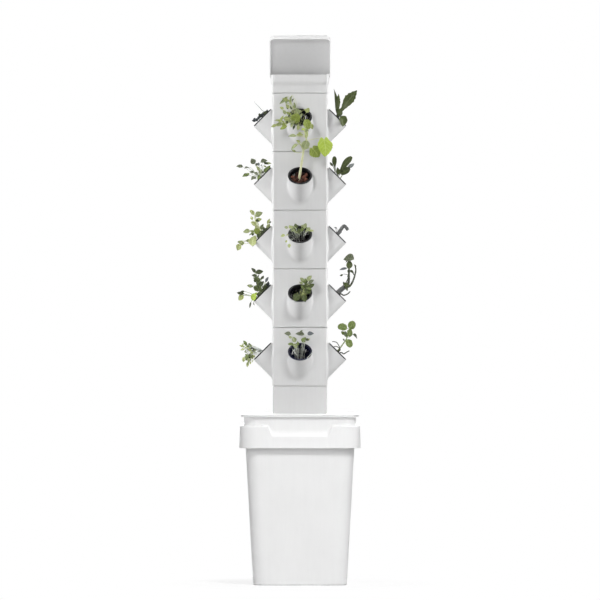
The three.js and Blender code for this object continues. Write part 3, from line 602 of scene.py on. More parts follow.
@dataclass(frozen=True)
class MouldedPlastic:
    """Injection-moulded plastic with a fine spark texture and faint flow marks.

    Its colour drifts to the toned one in soft patches. The grain and depth are the texture's, in
    millimetres, and gloss is the shader's specular level.
    """

    name: str
    colour: Colour
    toned: Colour
    roughness: float = 0.42
    grain: float = 0.7
    depth: float = 0.02
    flow: float = 0.35
    scuffs: float = 0.25
    gloss: float = 0.5

    def build(self) -> Material:
        """Returns the material."""
        shader = Shader(self.name)
        here = shader.place()
        patches = shader.noise(here, 90.0, 3.0)
        streaks = shader.noise(shader.place((1.0, 1.0, 0.08)), 6.0, 3.0)
        specks = shader.noise(here, 2.6, 4.0, 0.7)
        scratch = shader.noise(shader.place((1.0, 0.2, 3.0)), 5.0, 5.0, 0.75)
        drift = patches.eased(0.35, 0.7) * (1 - self.flow) + streaks.eased(0.4, 0.65) * self.flow
        worn = scratch.eased(0.62, 0.72) * specks.eased(0.45, 0.7) * self.scuffs
        colour = shader.mixed(drift, self.colour, self.toned)
        scuffed = tuple(min(1.0, part * 1.12 + 0.01) for part in self.colour)
        colour = shader.mixed(worn * 0.35, colour, scuffed)
        fine = shader.noise(here, self.grain, 2.0, 0.6)
        rough = (specks - 0.5) * 0.08 + (drift - 0.5) * 0.04 + worn * 0.18 + self.roughness
        relief = fine * 0.8 + specks * 0.5 + worn * 0.3
        return shader.finished(colour, rough, shader.bump(relief, self.depth, 0.5), self.gloss)


@dataclass(frozen=True)
class Foliage:
    """A leaf's skin: its blade with deeper patches, a midrib and pairs of side veins, and a paler edge."""

    name: str
    blade: Colour
    deep: Colour
    vein: Colour
    edge: Colour
    veins: float = 5.0
    roughness: float = 0.5

    def build(self) -> Material:
        """Returns the material."""
        shader = Shader(self.name)
        here = shader.place()
        along, side = shader.mark("along"), shader.mark("across").size()
        mottle = shader.noise(here, 5.0, 4.0, 0.65)
        broad = shader.noise(here, 24.0, 2.0)
        midrib = side.eased(0.03, 0.11, 1.0, 0.0)
        ribs = ((along - side * 0.32) * self.veins).wave() ** 9.0
        ribs = ribs * side.eased(0.75, 1.0, 0.8, 0.0)
        veins = shader.maths("MAXIMUM", midrib, ribs)
        patches = mottle.eased(0.35, 0.7) * 0.55 + broad.eased(0.4, 0.65) * 0.4
        colour = shader.mixed(patches, self.blade, self.deep)
        colour = shader.mixed(side.eased(0.7, 1.0) * 0.45 + along.eased(0.22, 0.0) * 0.4, colour, self.edge)
        colour = shader.mixed(veins * 0.6, colour, self.vein)
        rough = (mottle - 0.5) * 0.16 + self.roughness + veins * 0.08
        cells = shader.noise(here, 1.1, 3.0, 0.6)
        relief = cells * 0.25 + (1 - ribs) * 0.5 + (1 - midrib) * 0.6
        return shader.finished(colour, rough, shader.bump(relief, 0.25, 0.6), 0.35)


@dataclass(frozen=True)
class Stalk:
    """A stem's skin, which changes colour from its foot to its tip."""

    name: str
    foot: Colour
    tip: Colour
    roughness: float = 0.5

    def build(self) -> Material:
        """Returns the material."""
        shader = Shader(self.name)
        fibre = shader.noise(shader.place((1.0, 1.0, 0.15)), 1.2, 3.0, 0.6)
        patch = shader.noise(shader.place(), 7.0, 3.0, 0.6)
        colour = shader.mixed(shader.mark("along").eased(0.05, 0.8), self.foot, self.tip)
        shade = tuple(part * 0.62 for part in self.foot)
        colour = shader.mixed(fibre.eased(0.45, 0.75) * 0.3 + patch.eased(0.5, 0.75) * 0.35, colour, shade)
        rough = (patch - 0.5) * 0.2 + self.roughness
        return shader.finished(colour, rough, shader.bump(fibre, 0.15, 0.5))


@dataclass(frozen=True)
class BakedClay:
    """Expanded clay pebbles: a fired skin with dark burnt patches, pores darkened as painted shade, and pale
    dust that doubles as painted highlight.
    """

    name: str
    skin: Colour
    dark: Colour
    dust_and_highlight: Colour

    def build(self) -> Material:
        """Returns the material."""
        shader = Shader(self.name)
        here = shader.place()
        tone = shader.noise(here, 9.0, 2.0) * 0.4 + shader.mark("along") * 0.6
        fine = shader.noise(here, 1.4, 5.0, 0.7)
        pores = shader.node("TexVoronoi", None, {"Vector": here, "Scale": 1 / (1.5 * MM)})
        pits_and_shade = pores.eased(0.1, 0.4)
        colour = shader.mixed(tone.eased(0.35, 0.65), self.skin, self.dark)
        # The pale dust flecks, placed at random, also serve as painted highlight on the pebbles.
        colour = shader.mixed(fine.eased(0.58, 0.75) * 0.5, colour, self.dust_and_highlight)
        # Painted shade: the pores are darkened towards a third of the dark colour.
        colour = shader.mixed((1 - pits_and_shade) * 0.6, colour, tuple(part * 0.3 for part in self.dark))
        rough = (fine - 0.5) * 0.2 + 0.82
        return shader.finished(colour, rough, shader.bump(pits_and_shade * 0.7 + fine * 0.5, 0.6, 0.8), 0.3)


@dataclass(frozen=True)
class ClearVinyl:
    """Soft clear tube, slightly milky, with fine lines from its extrusion."""

    name: str
    colour: Colour

    def build(self) -> Material:
        """Returns the material."""
        shader = Shader(self.name)
        lines = shader.noise(shader.place((1.0, 1.0, 0.02)), 1.0, 3.0, 0.6)
        haze = shader.noise(shader.place(), 12.0, 3.0)
        deep = tuple(part * 0.85 for part in self.colour)
        colour = shader.mixed(haze.eased(0.4, 0.7) * 0.3, self.colour, deep)
        clear = {"Transmission Weight": 0.65, "IOR": 1.46}
        rough = haze * 0.12 + 0.14
        return shader.finished(colour, rough, shader.bump(lines, 0.04, 0.5), more=clear)


@dataclass(frozen=True)
class GroundSteel:
    """Stainless steel with fine lines, stretched along X, Y and Z, round its turned surfaces."""

    name: str
    colour: Colour
    lines: Triple = (1.0, 0.05, 0.05)

    def build(self) -> Material:
        """Returns the material."""
        shader = Shader(self.name)
        lines = shader.noise(shader.place(self.lines), 0.4, 4.0, 0.7)
        smear = shader.noise(shader.place(), 8.0, 3.0)
        dull = tuple(part * 0.8 for part in self.colour)
        colour = shader.mixed(smear.eased(0.4, 0.7) * 0.4, self.colour, dull)
        rough = lines * 0.2 + smear * 0.1 + 0.18
        return shader.finished(colour, rough, shader.bump(lines, 0.02, 0.5), more={"Metallic": 1.0})


class Finish(Enum):
    """The finishes of the tower's pieces."""

    TOWER = MouldedPlastic("tower_white", *tones("cfcfcf cbcbcb"), 0.4, 0.7, 0.02, 0.35, 0.2, 0.4)
    # The cap's copy of the tower's plastic is painted lighter, to brighten its raised inside where shade
    # falls.
    LIGHTENED_CAP = MouldedPlastic("cap_white_painted_lighter", *tones("ececec e8e8e8"), 0.4, 0.7, 0.02, 0.35, 0.2, 0.35)
    BUCKET = MouldedPlastic("bucket_white", *tones("f0f0f0 ededed"), 0.4, 1.1, 0.02, 0.3, 0.3, 0.25)
    CUP = MouldedPlastic("cup_black", *tones("101013 18181c"), 0.36, 0.5, 0.02, 0.4, 0.4, 0.4)
    NAVY_CUP = MouldedPlastic("cup_navy", *tones("0a0d28 101436"), 0.28, 0.5, 0.02, 0.4, 0.4, 0.4)
    PUMP = MouldedPlastic("pump_black", *tones("1b1b1d 222225"), 0.45, 0.6, 0.05, 0.3, 0.5)
    PUMP_GREY = MouldedPlastic("pump_grey", *tones("606266 54565a"), 0.4, 0.6, 0.03, 0.3, 0.3)
    RUBBER = MouldedPlastic("foot_rubber", *tones("181818 242424"), 0.75, 0.9, 0.06, 0.2, 0.5, 0.3)
    HOSE = ClearVinyl("hose_vinyl", (0.86, 0.88, 0.86))
    STEEL = GroundSteel("pin_steel", (0.72, 0.72, 0.73))
    CERAMIC = MouldedPlastic("shaft_ceramic", *tones("e2ded4 d6d2c8"), 0.22, 0.4, 0.01, 0.2, 0.1)
    CLAY = BakedClay("pebble_clay", *tones("744a3c 321f1b b08e80"))
    # A near-black copy of the clay pebbles: painted shade for the pebbles deep in the cups.
    SHADED_CLAY = BakedClay("pebble_clay_painted_shade", *tones("221a18 100d0d 3e3430"))
    YELLOW_GREEN = Foliage("leaf_yellow_green", *tones("9ca660 707c3e ccd29e bec888"))
    FRESH_GREEN = Foliage("leaf_fresh", *tones("808e3a 64742a a6b264 96a450"))
    PALE_GREEN = Foliage("leaf_pale", *tones("acb478 8a9656 d0d6a8 c4cc92"))
    LIME = Foliage("leaf_lime", *tones("a8be48 92aa36 c4d476 b8ca5c"))
    BASIL = Foliage("leaf_basil", *tones("909a6a 647042 c2caa0 b0ba8a"))
    MID_GREEN = Foliage("leaf_mid_green", *tones("6a7a3e 4c5c2a 92a068 7e8e52"))
    OLIVE = Foliage("leaf_olive", *tones("4a562a 343e1f 6c7644 5a6634"), 9.0, 0.42)
    GREY_GREEN = Foliage("leaf_grey_green", *tones("687056 48503c 929880 848a72"))
    DARK_GREEN = Foliage("leaf_dark_green", *tones("3e472a 262e1a 626c48 545e3c"))
    SLATE = Foliage("leaf_slate", *tones("646a6c 42484c 8e9294 7e8284"))
    SILVER = Foliage("leaf_silver", *tones("9ea4a4 7e8485 c4c8c8 b6baba"))
    INK = Foliage("leaf_ink", *tones("2c3436 161c1f 586062 464e50"))
    WHITE_STEM = Stalk("stem_white", *tones("e2e4de c8cebe"), 0.4)
    SILVER_STEM = Stalk("stem_silver", *tones("b2b8b4 ced2ce"), 0.4)
    PALE_STEM = Stalk("stem_pale", *tones("d0d0ac b8c082"), 0.45)
    GREEN_STEM = Stalk("stem_green", *tones("8a9664 74864a"), 0.5)
    DARK_STEM = Stalk("stem_dark", *tones("42443a 383e2c"), 0.5)
    GREY_STEM = Stalk("stem_grey", *tones("767776 606261"), 0.6)


@dataclass
class Workshop:
    """Keeps the finishes that are made and puts finished pieces into the frame."""

    frame: dict[str, Any]
    made: dict[Finish, Material] = field(default_factory=dict)
    count: int = 0

    def material(self, finish: Finish) -> Material:
        """Returns the material of a finish, made the first time it is asked for."""
        if finish not in self.made:
            self.made[finish] = finish.value.build()
        return self.made[finish]

    def piece(
        self, name: str, shape: Form | Mesh, finishes: Sequence[Finish], body: str, slot: str,
        node: str, place: Matrix | None = None, edge_angle: float = EDGE_ANGLE, evened: bool = True,
    ) -> None:
        """Puts one piece into the scene, on its body.

        Args:
            name: the piece's name.
            shape: its form, or a mesh that it shares with other pieces.
            finishes: its finishes, in the order of its faces' numbers.
            body: the body that it rides on.
            slot: the record's material slot; not used.
            node: the CAD node that it stands for.
            place: where it goes, in millimetres.
            edge_angle: the angle in degrees from which an edge stays sharp.
            evened: whether its large faces set the shading of the small ones beside them.
        """
        mesh = shape.mesh(name, edge_angle) if isinstance(shape, Form) else shape
        if not mesh.materials:
            for finish in finishes:
                mesh.materials.append(self.material(finish))
        made = added(name, mesh)
        if place is not None:
            moved = place.copy()
            moved.translation *= MM
            made.matrix_world = moved
        if evened:
            made.modifiers.new("even shading", "WEIGHTED_NORMAL").keep_sharp = True
        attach(made, body)
        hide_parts(node)
        self.count += 1
        LOG.info("%s rides on %s with %d faces", name, body, len(mesh.polygons))

    def dress(self, node: str, finish: Finish) -> None:
        """Gives a CAD node that stays in view its finish.

        Args:
            node: the node's name.
            finish: the finish.
        """
        materials = self.frame["nodes"][node].data.materials
        materials.clear()
        materials.append(self.material(finish))
        LOG.info("%s keeps its CAD shape", node)


def carved(mesh: Mesh, cutter: Form) -> Mesh:
    """Cuts closed forms out of a mesh.

    Args:
        mesh: the mesh, which is removed.
        cutter: the forms that are cut out.

    Returns:
        The new mesh.
    """
    holder, tool = (added(data.name, data) for data in (mesh, cutter.mesh("cutter")))
    modifier = holder.modifiers.new("cut", "BOOLEAN")
    modifier.operation, modifier.solver, modifier.object = "DIFFERENCE", "EXACT", tool
    bpy.context.view_layer.update()
    graph = bpy.context.evaluated_depsgraph_get()
    made = bpy.data.meshes.new_from_object(holder.evaluated_get(graph))
    made.name = mesh.name
    for thing in (holder, tool):
        spare = thing.data
        bpy.data.objects.remove(thing)
        bpy.data.meshes.remove(spare)
    return sharpened(made)


def joined(mesh: Mesh, form: Form) -> Mesh:
    """Adds a form's faces to a mesh.

    Args:
        mesh: the mesh.
        form: the form.

    Returns:
        The same mesh.
    """
    extra = form.mesh("extra")
    work = bmesh.new()
    work.from_mesh(mesh)
    work.from_mesh(extra)
    work.to_mesh(mesh)
    work.free()
    bpy.data.meshes.remove(extra)
    return sharpened(mesh)


@dataclass(frozen=True)
class PotPlace:
    """Where one pot's mouth is, and the ways that its plant is drawn in.

    Its bay is front, right, back or left, and its tier counts from the top. A plant's measures run
    across, up and ahead, which is towards the one who looks at it. The pot points along its lean.
    """

    bay: str
    tier: int
    middle: Vector
    turn: float
    across: Vector
    ahead: Vector
    lean: Vector

    def at(self, across: float, up: float, ahead: float) -> Vector:
        """Returns the place at those measures from the middle of the mouth."""
        return self.middle + self.across * across + Vector((0, 0, up)) + self.ahead * ahead

    def matrix(self) -> Matrix:
        """Returns the place of a form that is drawn upright round the pot's axis."""
        turned_to = Matrix.Rotation(self.turn, 4, "Z") @ Matrix.Rotation(QUARTER / 2, 4, "X")
        return Matrix.Translation(self.middle) @ turned_to


@dataclass
class Layout:
    """The tower's main heights and widths, as in the CAD model."""

    column_side: float = 124.0
    pitch: float = 132.0
    tiers: int = 5
    top_seam: float = 1107.3
    first_seam: float = 447.3
    column_foot: float = 345.6
    pot_overhang: float = 21.5
    pot_height: float = 77.0
    seat_gap: float = 0.3
    hinge: Pair = (71.0, 1138.0)
    knuckle: float = 9.0
    knuckle_length: float = 48.0

    def pots(self) -> list[PotPlace]:
        """Returns the place of each pot."""
        places = []
        reach = self.column_side / 2 + self.pot_overhang
        for turn, bay in enumerate(("front", "right", "back", "left")):
            spin = Matrix.Rotation(turn * QUARTER, 3, "Z")
            out, aside = spin @ Vector((0, -1, 0)), spin @ Vector((1, 0, 0))
            across, ahead = (aside, out) if bay == "front" else (out, -aside if bay == "right" else aside)
            for tier in range(1, self.tiers + 1):
                height = self.top_seam - tier * self.pitch + self.pot_height
                middle = out * reach + Vector((0, 0, height))
                lean = (out + Vector((0, 0, 1))).normalized()
                places.append(PotPlace(bay, tier, middle, turn * QUARTER, across, ahead, lean))
        return places


@dataclass
class Assembly:
    """A part of the tower that builds its own pieces in the workshop, to the tower's layout."""

    shop: Workshop
    layout: Layout


@dataclass
class PlanterModule:
    """One tier of the column: a square tube with four tilted pots and a spigot below."""

    layout: Layout
    half: float = 62.0
    wall: float = 3.0
    corner: float = 4.5
    inner_corner: float = 3.0
    height: float = 131.7
    edge: float = 0.8
    gap: float = 0.8
    pot_outer: float = 28.0
    pot_bore: float = 25.3
    lip_round: float = 1.0
    fillet: float = 7.0
    fillet_rows: int = 7
    spigot_half: float = 58.7
    spigot_bore: float = 56.5
    spigot_depth: float = 9.0
    spigot_root: float = 4.0
    spigot_bevel: float = 0.9
    corner_steps: int = 6
    arc_steps: tuple[int, int] = (18, 14)
    whole: Form = field(default_factory=Form)

    def form(self) -> Form:
        """Returns the module, with its seam at height zero."""
        side = self._side()
        for turn in range(4):
            self.whole.take(side, Matrix.Rotation(turn * QUARTER, 4, "Z"))
        self._close_bottom()
        self._close_top()
        return self.whole

    def _in_pot(self, radius: float, angle: float, along: float) -> Vector:
        """Returns a place on a circle round the pot's axis.

        Args:
            radius: the circle's radius.
            angle: the place's angle on it, from the right over the top.
            along: how far the circle lies out from the mouth, along the axis.

        Returns:
            The place.
        """
        out, down = along * SLANT, -sin(angle) * radius * SLANT
        ahead = -self.half - self.layout.pot_overhang - out - down
        return Vector((radius * cos(angle), ahead, self.layout.pot_height + out - down))

    def _meets(self, radius: float, angle: float, plane: float) -> float:
        """Returns how far along the axis a line of the pot meets a wall's plane."""
        return (plane - self.half - self.layout.pot_overhang) / SLANT + radius * sin(angle)

    def _pot_line(self) -> float:
        """Returns the height at which the pot's axis meets the wall's outer face."""
        return self.layout.pot_height - self.layout.pot_overhang

    def _angles(self) -> list[float]:
        """Returns the angles of the pot's lines, four of which run to the panel's corners."""
        wide, middle = self.half - self.corner, self._pot_line()
        upper = atan2(SLANT * (self.height - self.edge - middle), wide)
        lower = atan2(SLANT * (middle - self.edge - self.gap), wide)
        ends = [-lower, upper, pi - upper, pi + lower, 2 * pi - lower]
        angles: list[float] = []
        for index, (start, end) in enumerate(zip(ends, ends[1:])):
            steps = self.arc_steps[index % 2]
            angles += [blend(start, end, step / steps) for step in range(steps)]
        return angles

    @staticmethod
    def _frame_point(point: Vector, middle: float, wide: float, low: float, high: float) -> Vector:
        """Moves a point of a wall away from the pot, onto the wall's outline.

        Args:
            point: the point.
            middle: the height of the pot's middle on that wall.
            wide: half the outline's width.
            low: its lower edge.
            high: its upper edge.

        Returns:
            The place on the outline.
        """
        rise = point.z - middle
        limits = [wide / abs(point.x)] if abs(point.x) > 1e-6 else []
        limits += [(high - middle) / rise] if rise > 1e-6 else []
        limits += [(low - middle) / rise] if rise < -1e-6 else []
        share = min(limits)
        return Vector((point.x * share, point.y, middle + rise * share))

    def _side(self) -> Form:
        """Returns one side's panel with its pot, and the corner to its right."""
        form = Form()
        angles, middle, outer = self._angles(), self._pot_line(), self.pot_outer
        wide, low, high = self.half - self.corner, self.gap + self.edge, self.height - self.edge
        meets = [self._in_pot(outer, a, self._meets(outer, a, self.half)) for a in angles]
        rows = [form.add(self._frame_point(point, middle, wide, low, high) for point in meets)]
        fillets: list[list[Vector]] = [[] for _ in range(self.fillet_rows)]
        starts = []
        for angle, meet in zip(angles, meets):
            depth = -self._meets(outer, angle, self.half)
            soft = min(self.fillet, 0.5 * depth)
            normal = Vector((cos(angle) * sqrt(2), 0, sin(angle))).normalized()
            before, after = meet + normal * soft, self._in_pot(outer, angle, soft - depth)
            starts.append(soft - depth)
            for step, row in enumerate(fillets):
                share = step / (self.fillet_rows - 1)
                row.append(before.lerp(meet, share).lerp(meet.lerp(after, share), share))
        rows += [form.add(row) for row in fillets]
        inner = self.half - self.wall
        ends = [self._meets(self.pot_bore, a, inner) for a in angles]
        mouth = [-self.lip_round] * len(angles)
        rows += self._stretch(form, outer, starts, mouth, 4)
        rows += [form.add(self._in_pot(radius, a, along) for a in angles) for radius, along in self._lip()]
        rows += self._stretch(form, self.pot_bore, mouth, ends, 3)
        rows.append(form.add(self._inner_frame(form, rows[-1])))
        form.stack(rows)
        self._corner_strip(form, rows[0], self.half, self.corner)
        self._corner_strip(form, rows[-1], inner, self.inner_corner)
        return form

    def _stretch(
        self, form: Form, radius: float, starts: Sequence[float], ends: Sequence[float], steps: int
    ) -> list[list[int]]:
        """Adds rows along one of the pot's skins.

        Args:
            form: the side's form.
            radius: the skin's radius.
            starts: where each line of the pot starts along the axis.
            ends: where it ends.
            steps: how many rows are added.

        Returns:
            The numbers of the rows' points.
        """
        lines = list(zip(self._angles(), starts, ends))
        return [
            form.add(self._in_pot(radius, angle, blend(*ends, step / steps)) for angle, *ends in lines)
            for step in range(1, steps + 1)
        ]

    def _lip(self) -> list[Pair]:
        """Returns the lip's rounded cross-section as radii and places along the axis."""
        soft = self.lip_round
        angles = [step / 4 * QUARTER for step in range(5)]
        section = [(self.pot_outer - soft * (1 - cos(a)), -soft * (1 - sin(a))) for a in angles[1:]]
        section += [(self.pot_bore + soft * (1 - sin(a)), -soft * (1 - cos(a))) for a in angles]
        return section

    def _inner_frame(self, form: Form, row: Sequence[int]) -> list[Vector]:
        """Returns the outline of the wall's inner face, with points right in its corners.

        Args:
            form: the side's form.
            row: the points where the bore meets that face.

        Returns:
            The outline's points.
        """
        wide = self.half - self.wall - self.inner_corner
        middle = self._pot_line() - self.wall
        low, high = self.spigot_root, self.height
        points = [self._frame_point(form.points[i], middle, wide, low, high) for i in row]
        for x in (-wide, wide):
            for z in (low, high):
                corner = Vector((x, points[0].y, z))
                nearest = min(range(len(points)), key=lambda i: (points[i] - corner).length)
                points[nearest] = corner
        return points

    def _corner_strip(self, form: Form, row: Sequence[int], half: float, corner: float) -> None:
        """Rounds the corner of the tube to the right of a panel.

        Args:
            form: the side's form.
            row: the panel's outline.
            half: half the width of the tube's face there.
            corner: the corner's radius.
        """
        middle = half - corner
        heights = sorted(form.points[i].z for i in row if form.points[i].x > middle - TOUCH)
        lines = []
        for step in range(self.corner_steps + 1):
            angle = QUARTER * step / self.corner_steps - QUARTER
            x, y = middle + corner * cos(angle), -middle + corner * sin(angle)
            lines.append(form.add(Vector((x, y, z)) for z in heights))
        form.stack(lines, closed=False)

    def _ring(self, half: float, corner: float, height: float, stops: Sequence[float] = ()) -> list[int]:
        """Adds one rounded square to the module and returns its points' numbers."""
        outline = square_outline(half, corner, self.corner_steps, stops)
        return self.whole.add(point + Vector((0, 0, height)) for point in outline)

    def _stops(self, half: float, corner: float, height: float) -> list[float]:
        """Returns where the front panel's outline has points between the corners at a height."""
        edge = half - corner - 1e-3
        return sorted({
            round(point.x, 5) for point in self.whole.points
            if abs(point.y + half) < TOUCH and abs(point.z - height) < TOUCH and abs(point.x) < edge
        })

    def _edge_row(self, limit: float, inwards: int) -> list[int]:
        """Rounds the outer edge at one end of the tube.

        Args:
            limit: the height of that end.
            inwards: the way into the tube, 1 for up and -1 for down.

        Returns:
            The numbers of the last row's points, at that end.
        """
        stops = self._stops(self.half, self.corner, limit + inwards * self.edge)
        rows = []
        for step in range(4):
            angle = QUARTER * step / 3
            inset = self.edge * (1 - cos(angle))
            height = limit + inwards * self.edge * (1 - sin(angle))
            rows.append(self._ring(self.half - inset, self.corner - inset, height, stops))
        self.whole.stack(rows)
        return rows[-1]

    def _inner_ring(self, height: float) -> list[int]:
        """Adds the outline of the tube's inner face at a height and returns its points' numbers."""
        face, corner = self.half - self.wall, self.inner_corner
        return self._ring(face, corner, height, self._stops(face, corner, height))

    def _close_bottom(self) -> None:
        """Rounds the lower edge and adds the seat and the spigot."""
        row = self._edge_row(self.gap, 1)
        corner, bevel = self.inner_corner, self.spigot_bevel
        spigot = [
            self._ring(self.spigot_half, corner, self.gap),
            self._ring(self.spigot_half, corner, bevel - self.spigot_depth),
            self._ring(self.spigot_half - bevel, corner - bevel, -self.spigot_depth),
            self._ring(self.spigot_bore, corner - bevel, -self.spigot_depth),
            self._ring(self.spigot_bore, corner - bevel, self.spigot_root),
        ]
        self.whole.fill(row, spigot[0])
        self.whole.stack(spigot)
        self.whole.fill(self._inner_ring(self.spigot_root), spigot[-1])

    def _close_top(self) -> None:
        """Rounds the upper edge and closes the rim."""
        row = self._edge_row(self.height, -1)
        self.whole.fill(row, self._inner_ring(self.height))


@dataclass
class Column(Assembly):
    """The column: its base, five planter modules, the distribution tray and what they hold."""

    base_half: float = 61.0
    base_corner: float = 3.5
    wall_half: float = 59.0
    tray_height: float = 42.0
    tray_gap: float = 0.5
    tray_skirt: float = 63.0
    tray_top: float = 65.5
    tray_wall: float = 2.6
    tray_flare: Pair = (19.0, 24.0)
    plate_foot: float = 6.3
    plate_top: float = 8.8
    drip_pitch: float = 24.0
    ear_gap: float = 0.5
    ear_thickness: float = 6.0
    pin: float = 4.0
    hose_outer: float = 16.0
    hose_inner: float = 12.6
    hose_foot: float = 79.2
    hose_top: float = 1130.1

    def build(self) -> None:
        """Builds the column's pieces."""
        self._base()
        mesh = PlanterModule(self.layout).form().mesh("planter_module")
        for tier in range(1, self.layout.tiers + 1):
            place = Matrix.Translation((0, 0, self.layout.top_seam - tier * self.layout.pitch))
            self._place(f"tier_{tier}", mesh, f"planter_module_{tier}", place)
        self._tray()
        self._shower_plate()
        self._pin()
        self._hose()

    def _place(self, name: str, shape: Form | Mesh, node: str, place: Matrix | None = None) -> None:
        """Puts one white piece of the column into the scene, for a CAD node."""
        self.shop.piece(name, shape, [Finish.TOWER], "column", "tower_white", node, place)

    def _base(self) -> None:
        """Builds the plain lowest piece, which stands in the lid's socket."""
        low, high = self.layout.column_foot, self.layout.first_seam - self.layout.seat_gap
        half, corner, wall, inner = self.base_half, self.base_corner, self.wall_half, self.base_corner - 1.0
        self._place("base", square_loft([
            (half, corner, low, 0.6), (half, corner, high, 0.8),
            (wall, inner, high, 0.4), (wall, inner, low, 0.4),
        ], True), "base_column")

    def _tray(self) -> None:
        """Builds the distribution tray with its spigot, its flared collar and the hinge's ears."""
        seam, wall, gap = self.layout.top_seam, self.tray_wall, self.tray_gap
        skirt, top, height = self.tray_skirt, self.tray_top, self.tray_height
        flare_low, flare_high = self.tray_flare
        rows = [
            (56.5, 3.0, -9.0, 0.3), (58.7, 4.5, -9.0, 0.8), (58.7, 4.5, gap, 0.2), (skirt, 4.5, gap, 0.7),
            (skirt, 4.5, flare_low - 0.5, 6.0), (top, 9.0, flare_high + 0.5, 6.0), (top, 9.0, height, 1.1),
            (top - wall, 6.4, height, 0.8), (top - wall, 6.4, flare_high, 2.0),
            (skirt - wall, 4.5, flare_low, 2.0), (skirt - wall, 4.5, 6.0, 0.5),
            (52.5, 4.5, 6.0, 0.5), (52.5, 4.5, 3.0, 0.5), (56.5, 4.5, 0.0, 0.5),
        ]
        rows = [(half, corner, seam + rise, soft) for half, corner, rise, soft in rows]
        tray = square_loft(rows, True, steps=10)
        for hand in (-1, 1):
            tray.take(self._ear(hand))
        self._place("tray", tray, "distribution_tray")

    def _ear(self, hand: int) -> Form:
        """Returns one ear of the hinge, a rounded tongue that stands out of the tray's back wall."""
        hinge_y, hinge_z = self.layout.hinge
        radius = self.layout.knuckle / 2
        root = self.tray_top - self.tray_wall / 2
        outline = [Vector((0, root, hinge_z - radius - 3)), Vector((0, root + 2.4, hinge_z - radius - 0.4))]
        for step in range(13):
            angle = pi * step / 12 - QUARTER
            outline.append(Vector((0, hinge_y + radius * cos(angle), hinge_z + radius * sin(angle))))
        outline.append(Vector((0, root, hinge_z + radius)))
        near, bevel = self.layout.knuckle_length / 2 + self.ear_gap, 0.5
        far = near + self.ear_thickness
        middle = Vector((0, hinge_y, hinge_z))
        return Form().solid(
            [middle + (point - middle) * (1 - inset / radius) + Vector((hand * x, 0, 0)) for point in outline]
            for x, inset in ((near, bevel), (near + bevel, 0.0), (far - bevel, 0.0), (far, bevel))
        )

    def _shower_plate(self) -> None:
        """Builds the shower plate with its drip holes and the hose's hole."""
        low, high = self.layout.top_seam + self.plate_foot, self.layout.top_seam + self.plate_top
        half = self.tray_skirt - self.tray_wall - self.layout.seat_gap
        plate = square_loft([
            (half - 0.5, 4.0, low, 0.0), (half, 4.5, low + 0.5, 0.0),
            (half, 4.5, high - 0.5, 0.0), (half - 0.5, 4.0, high, 0.0),
        ], False).mesh("shower_plate")
        cutter = Form()
        drill = turned([(2.5, low - 2), (2.5, high - 0.4), (3.4, high + 0.5), (3.4, high + 2)], 20)
        places = [self.drip_pitch * (number - 1.5) for number in range(4)]
        for x in places:
            for y in places:
                cutter.take(drill, Matrix.Translation((x, y, 0)))
        cutter.take(turned([(8.3, low - 2), (8.3, high + 2)], 40))
        self._place("drip_plate", carved(plate, cutter), "shower_plate")

    def _pin(self) -> None:
        """Builds the hinge pin with a domed head at each end."""
        half = self.layout.knuckle_length / 2 + self.ear_gap + self.ear_thickness + 0.3
        radius = self.pin / 2
        head = [(0.01, 1.5, 0.0), (2.4, 1.5, 0.3), (3.5, 0.9, 0.4), (3.5, 0.0, 0.3), (radius, 0.0, 0.2)]
        corners = [(out, -half - rise, soft) for out, rise, soft in head]
        corners += [(out, half + rise, soft) for out, rise, soft in reversed(head)]
        form = turned(rounded_profile(corners, False), 32)
        place = Matrix.Translation((0, *self.layout.hinge)) @ Matrix.Rotation(QUARTER, 4, "Y")
        self.shop.piece("pin", Form().take(form, place), [Finish.STEEL], "column", "pin_steel", "hinge_pin")

    def _hose(self) -> None:
        """Builds the riser hose, a plain tube with softened ends."""
        outer, inner = self.hose_outer / 2, self.hose_inner / 2
        foot, top = self.hose_foot, self.hose_top
        corners = [(outer, foot, 0.4), (outer, top, 0.4), (inner, top, 0.4), (inner, foot, 0.4)]
        form = turned(rounded_profile(corners, True), 36, loop=True)
        self.shop.piece("hose", form, [Finish.HOSE], "column", "hose_vinyl", "riser_hose")


